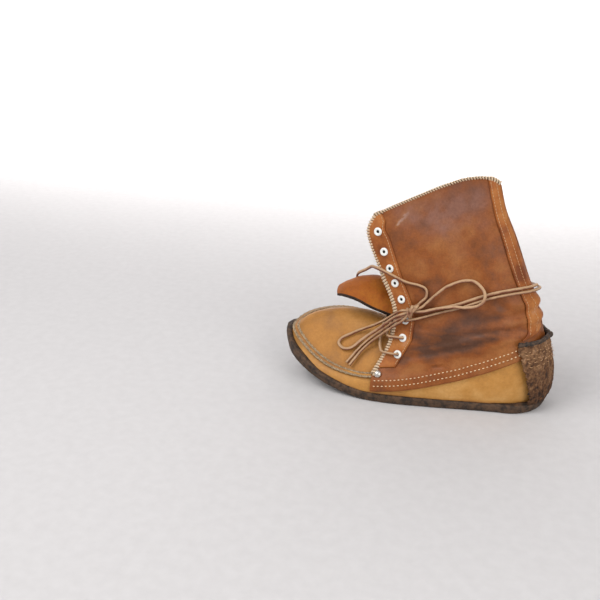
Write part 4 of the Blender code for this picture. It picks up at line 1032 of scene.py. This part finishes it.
# ---- heel ----
HEEL_X = 127
CUP_IN, CUP_OUT, CUP_TOP = 5.5, 7.7, 1.02
CUP_THREADS = (0.94, 0.89, 0.83, 0.77, 0.70)
ROLL_R, ROLL_LUMP, ROLL_N = 2.3, 62, 120     # radius of the binding, place of its lump, points along it


def heel_rows(shares, offset, cols=120):
    """Grid around the heel, outer side to inner side; its front edge leans back towards the sole."""
    rows = []
    back = 1 - np.abs(np.linspace(-1, 1, cols)) ** 3
    for up in shares:
        first = ring_index(-1, HEEL_X + 4 * (1 - np.clip(up, 0, 1)))
        at = np.linspace(first, 2 * RING_N - first, cols)
        ring = wall(up, offset)
        drop = (wall(up - 0.09, offset) - ring) * share(up, 0.3, 0.9)
        rows.append(read(ring, at) + read(drop, at) * back[:, None])
    grid = np.array(rows)
    grid[..., 2] = np.maximum(grid[..., 2], SOLE_THICK + GAP)
    return round_ends(grid)


def build_heel():
    shares = np.linspace(-0.05, CUP_TOP, 70)
    grid, back = heel_rows(shares, CUP_OUT - 0.3), heel_rows(shares, CUP_IN)
    cols = grid.shape[1]
    low = np.linspace(0, 1, 70)[:, None] * np.ones((1, cols))
    grid[..., 2] = np.where(low < 0.06, SOLE_THICK - 1.0 + 30 * low, grid[..., 2])
    n = normals(grid, 0)
    ragged = np.exp(-from_end(cols) / 1.6) * rough(grid, 5, 2.2, 3, 91)
    grid[..., 0] += ragged
    back[..., 0] += ragged
    fibres = rough(grid * np.array([1, 1, 0.35]), 2.6, 0.75, 4, 92)
    grid = grid + n * (fibres + rough(grid, 12, 0.5, 2, 93))[..., None]
    # darker towards the bottom, with painted shade where the cup meets the sole; the cup's back is painted
    # near-black as shade
    tone = -0.10 + 0.22 * low + rough(grid, 9, 0.10, 2, 95) - 0.25 * np.exp(-low / 0.06)
    sheet("heel_cup_fibrous", grid, back, ["cup", "dark", "cup"], "boot", ("heel_cup",), "cup", tone)
    edge = resample(heel_rows([CUP_TOP + 0.03], CUP_OUT + 0.2)[0], ROLL_N)
    radius = ROLL_R + rough(edge, 4, 1.0, 3, 97) + 1.2 * near(np.arange(ROLL_N) - ROLL_LUMP, 3)
    piece("heel_cup_binding_roll", tube(edge + jitter(edge, 5, 0.7, 3, 94), radius, 12), ["binding"], "boot",
          ("heel_cup_binding",), "rubber")
    for row, up in enumerate(CUP_THREADS):
        line = heel_rows([up - 0.02, up, up + 0.02], CUP_OUT + 0.2)
        out = normals(line, 0)[1]
        path = line[1] + out * 0.35
        path[:, 2] += rough(path, 5, 1.6, 3, 98 + row)
        stitches(f"cup_thread_{row + 1}", path[3:-3], out[3:-3], 5.0 + row, 0.3, "boot", "tan_thread", 0.5)


# ---- tongue ----
TONGUE_THICK = 4.6
SMOOTHING = 12           # passes over the tongue's normals
TONGUE_FLAP = [
    [(-25, -18, 90), (-23, -10, 99), (-23, 3, 107), (-23, 14, 105), (-24, 20, 96)],
    [(-47, -20, 97), (-47, -11, 111.5), (-47, 5, 120.5), (-46, 16, 120), (-45, 23, 113.5)],
    [(-64, -21, 104.8), (-65, -11, 114.5), (-66, 5, 119.5), (-65, 16, 119), (-64, 22, 114)],
    [(-81, -18, 107), (-83, -9, 111), (-84, 2, 113), (-83, 11, 112.5), (-82, 17, 109.5)],
    [(-89.5, -11.5, 103.8), (-91.5, -6, 105.5), (-92, -1, 107.5), (-91.5, 4, 108.5), (-91, 9, 108)],
]
TONGUE_BASE = [
    [(-30, -28, 45), (-34, -14, 60), (-39, 5, 65.5), (-38, 18, 58), (-34, 26, 47)],
    [(-13, -25, 66), (-15, -13, 78), (-18, 4, 83), (-15, 15, 78), (-13, 23, 67)],
    [(-11, -20, 83), (-15, -11, 95), (-16, 3, 104), (-15, 14, 101), (-12, 20, 93)],
]
TONGUE_BEND = ("boot", "tongue_end", (-0.021, 0, 0.098), (-0.030, 0, 0.102))


def build_tongue():
    for name, rows, wide, long, body in (("tongue_base", TONGUE_BASE, 40, 40, "boot"),
                                         ("tongue_flap", TONGUE_FLAP, 46, 80, TONGUE_BEND)):
        grid = across([curve(row, np.linspace(0, 1, wide)) for row in rows], np.linspace(0, 1, long))
        n = normals(grid, 2)
        grid = grid + n * (rough(grid, 22, 0.7, 3, 111) + rough(grid, 6, 0.12, 2, 112))[..., None]
        for _ in range(SMOOTHING):
            pad = np.pad(n, ((1, 1), (1, 1), (0, 0)), mode="edge")
            n = (pad[2:, 1:-1] + pad[:-2, 1:-1] + pad[1:-1, 2:] + pad[1:-1, :-2]) / 4
        # the tongue's underside and cut edge are painted near-black as shade
        sheet(f"{name}_soft", grid, grid - unit(n) * TONGUE_THICK, ["tongue", "dark", "dark"], body, (name,),
              "orange", edge=0.55)


# ---- carried-over nodes, floor and light ----
def paint_nodes():
    for name, mat in (("midsole", "rubber"), ("insole", "board"), ("heel_counter", "flesh")):
        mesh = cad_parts[name].data
        mesh.materials.clear()
        mesh.materials.append(MATS[mat])


def build_stage():
    """Floor that curves up into a backdrop, in metres."""
    look = Look("paper")
    color = look.ramp(look.noise(90, 3), (0.3, (0.535, 0.515, 0.51)), (0.7, (0.565, 0.545, 0.54)))
    front, bend, radius, top, half_width, below = -2.5, 1.0, 0.8, 3.0, 4.0, 0.0002
    profile = [(front, 0.0), (bend, 0.0)]
    profile += [(bend + radius * math.sin(a), radius - radius * math.cos(a))
                for a in np.linspace(0.1, math.pi / 2, 14)]
    profile += [(bend + radius, top)]
    verts = [(x, y, z - below) for y, z in profile for x in (-half_width, half_width)]
    faces = [[2 * k, 2 * k + 1, 2 * k + 3, 2 * k + 2] for k in range(len(profile) - 1)]
    mesh = bpy.data.meshes.new("backdrop")
    mesh.from_pydata(verts, [], faces)
    mesh.polygons.foreach_set("use_smooth", np.ones(len(faces), bool))
    mesh.materials.append(look.finish({"Base Color": color, "Roughness": 0.9}))
    obj = bpy.data.objects.new("backdrop", mesh)
    bpy.context.scene.collection.objects.link(obj)


def area_light(name, place, target, size, power, color=(1, 1, 1), spread=180):
    data = bpy.data.lights.new(name, "AREA")
    data.shape, data.size, data.size_y = "RECTANGLE", size[0], size[1]
    data.energy, data.color, data.spread = power, color, math.radians(spread)
    obj = bpy.data.objects.new(name, data)
    obj.location = place
    obj.rotation_euler = (Vector(target) - Vector(place)).to_track_quat("-Z", "Y").to_euler()
    bpy.context.scene.collection.objects.link(obj)


def set_light():
    world = bpy.data.worlds.new("studio")
    world.use_nodes = True
    world.node_tree.nodes["Background"].inputs["Color"].default_value = (0.93, 0.96, 1.0, 1)
    world.node_tree.nodes["Background"].inputs["Strength"].default_value = 0.62
    bpy.context.scene.world = world
    area_light("key", (-0.9, -0.9, 1.5), (0, 0, 0.08), (1.1, 1.1), 22)
    area_light("fill", (1.2, -1.0, 0.9), (0, 0, 0.1), (1.2, 1.2), 14, (1, 0.98, 0.95))
    area_light("back", (-0.6, 1.3, 2.0), (-0.6, 1.8, 0.7), (3.0, 0.6), 60, spread=100)
    bpy.context.scene.view_settings.view_transform = "Standard"


set_camera()
build_lace()
build_sole()
build_vamp()
build_plug()
build_toe_seam()
build_shaft()
build_backstay()
build_heel()
build_tongue()
paint_nodes()
build_stage()
set_light()
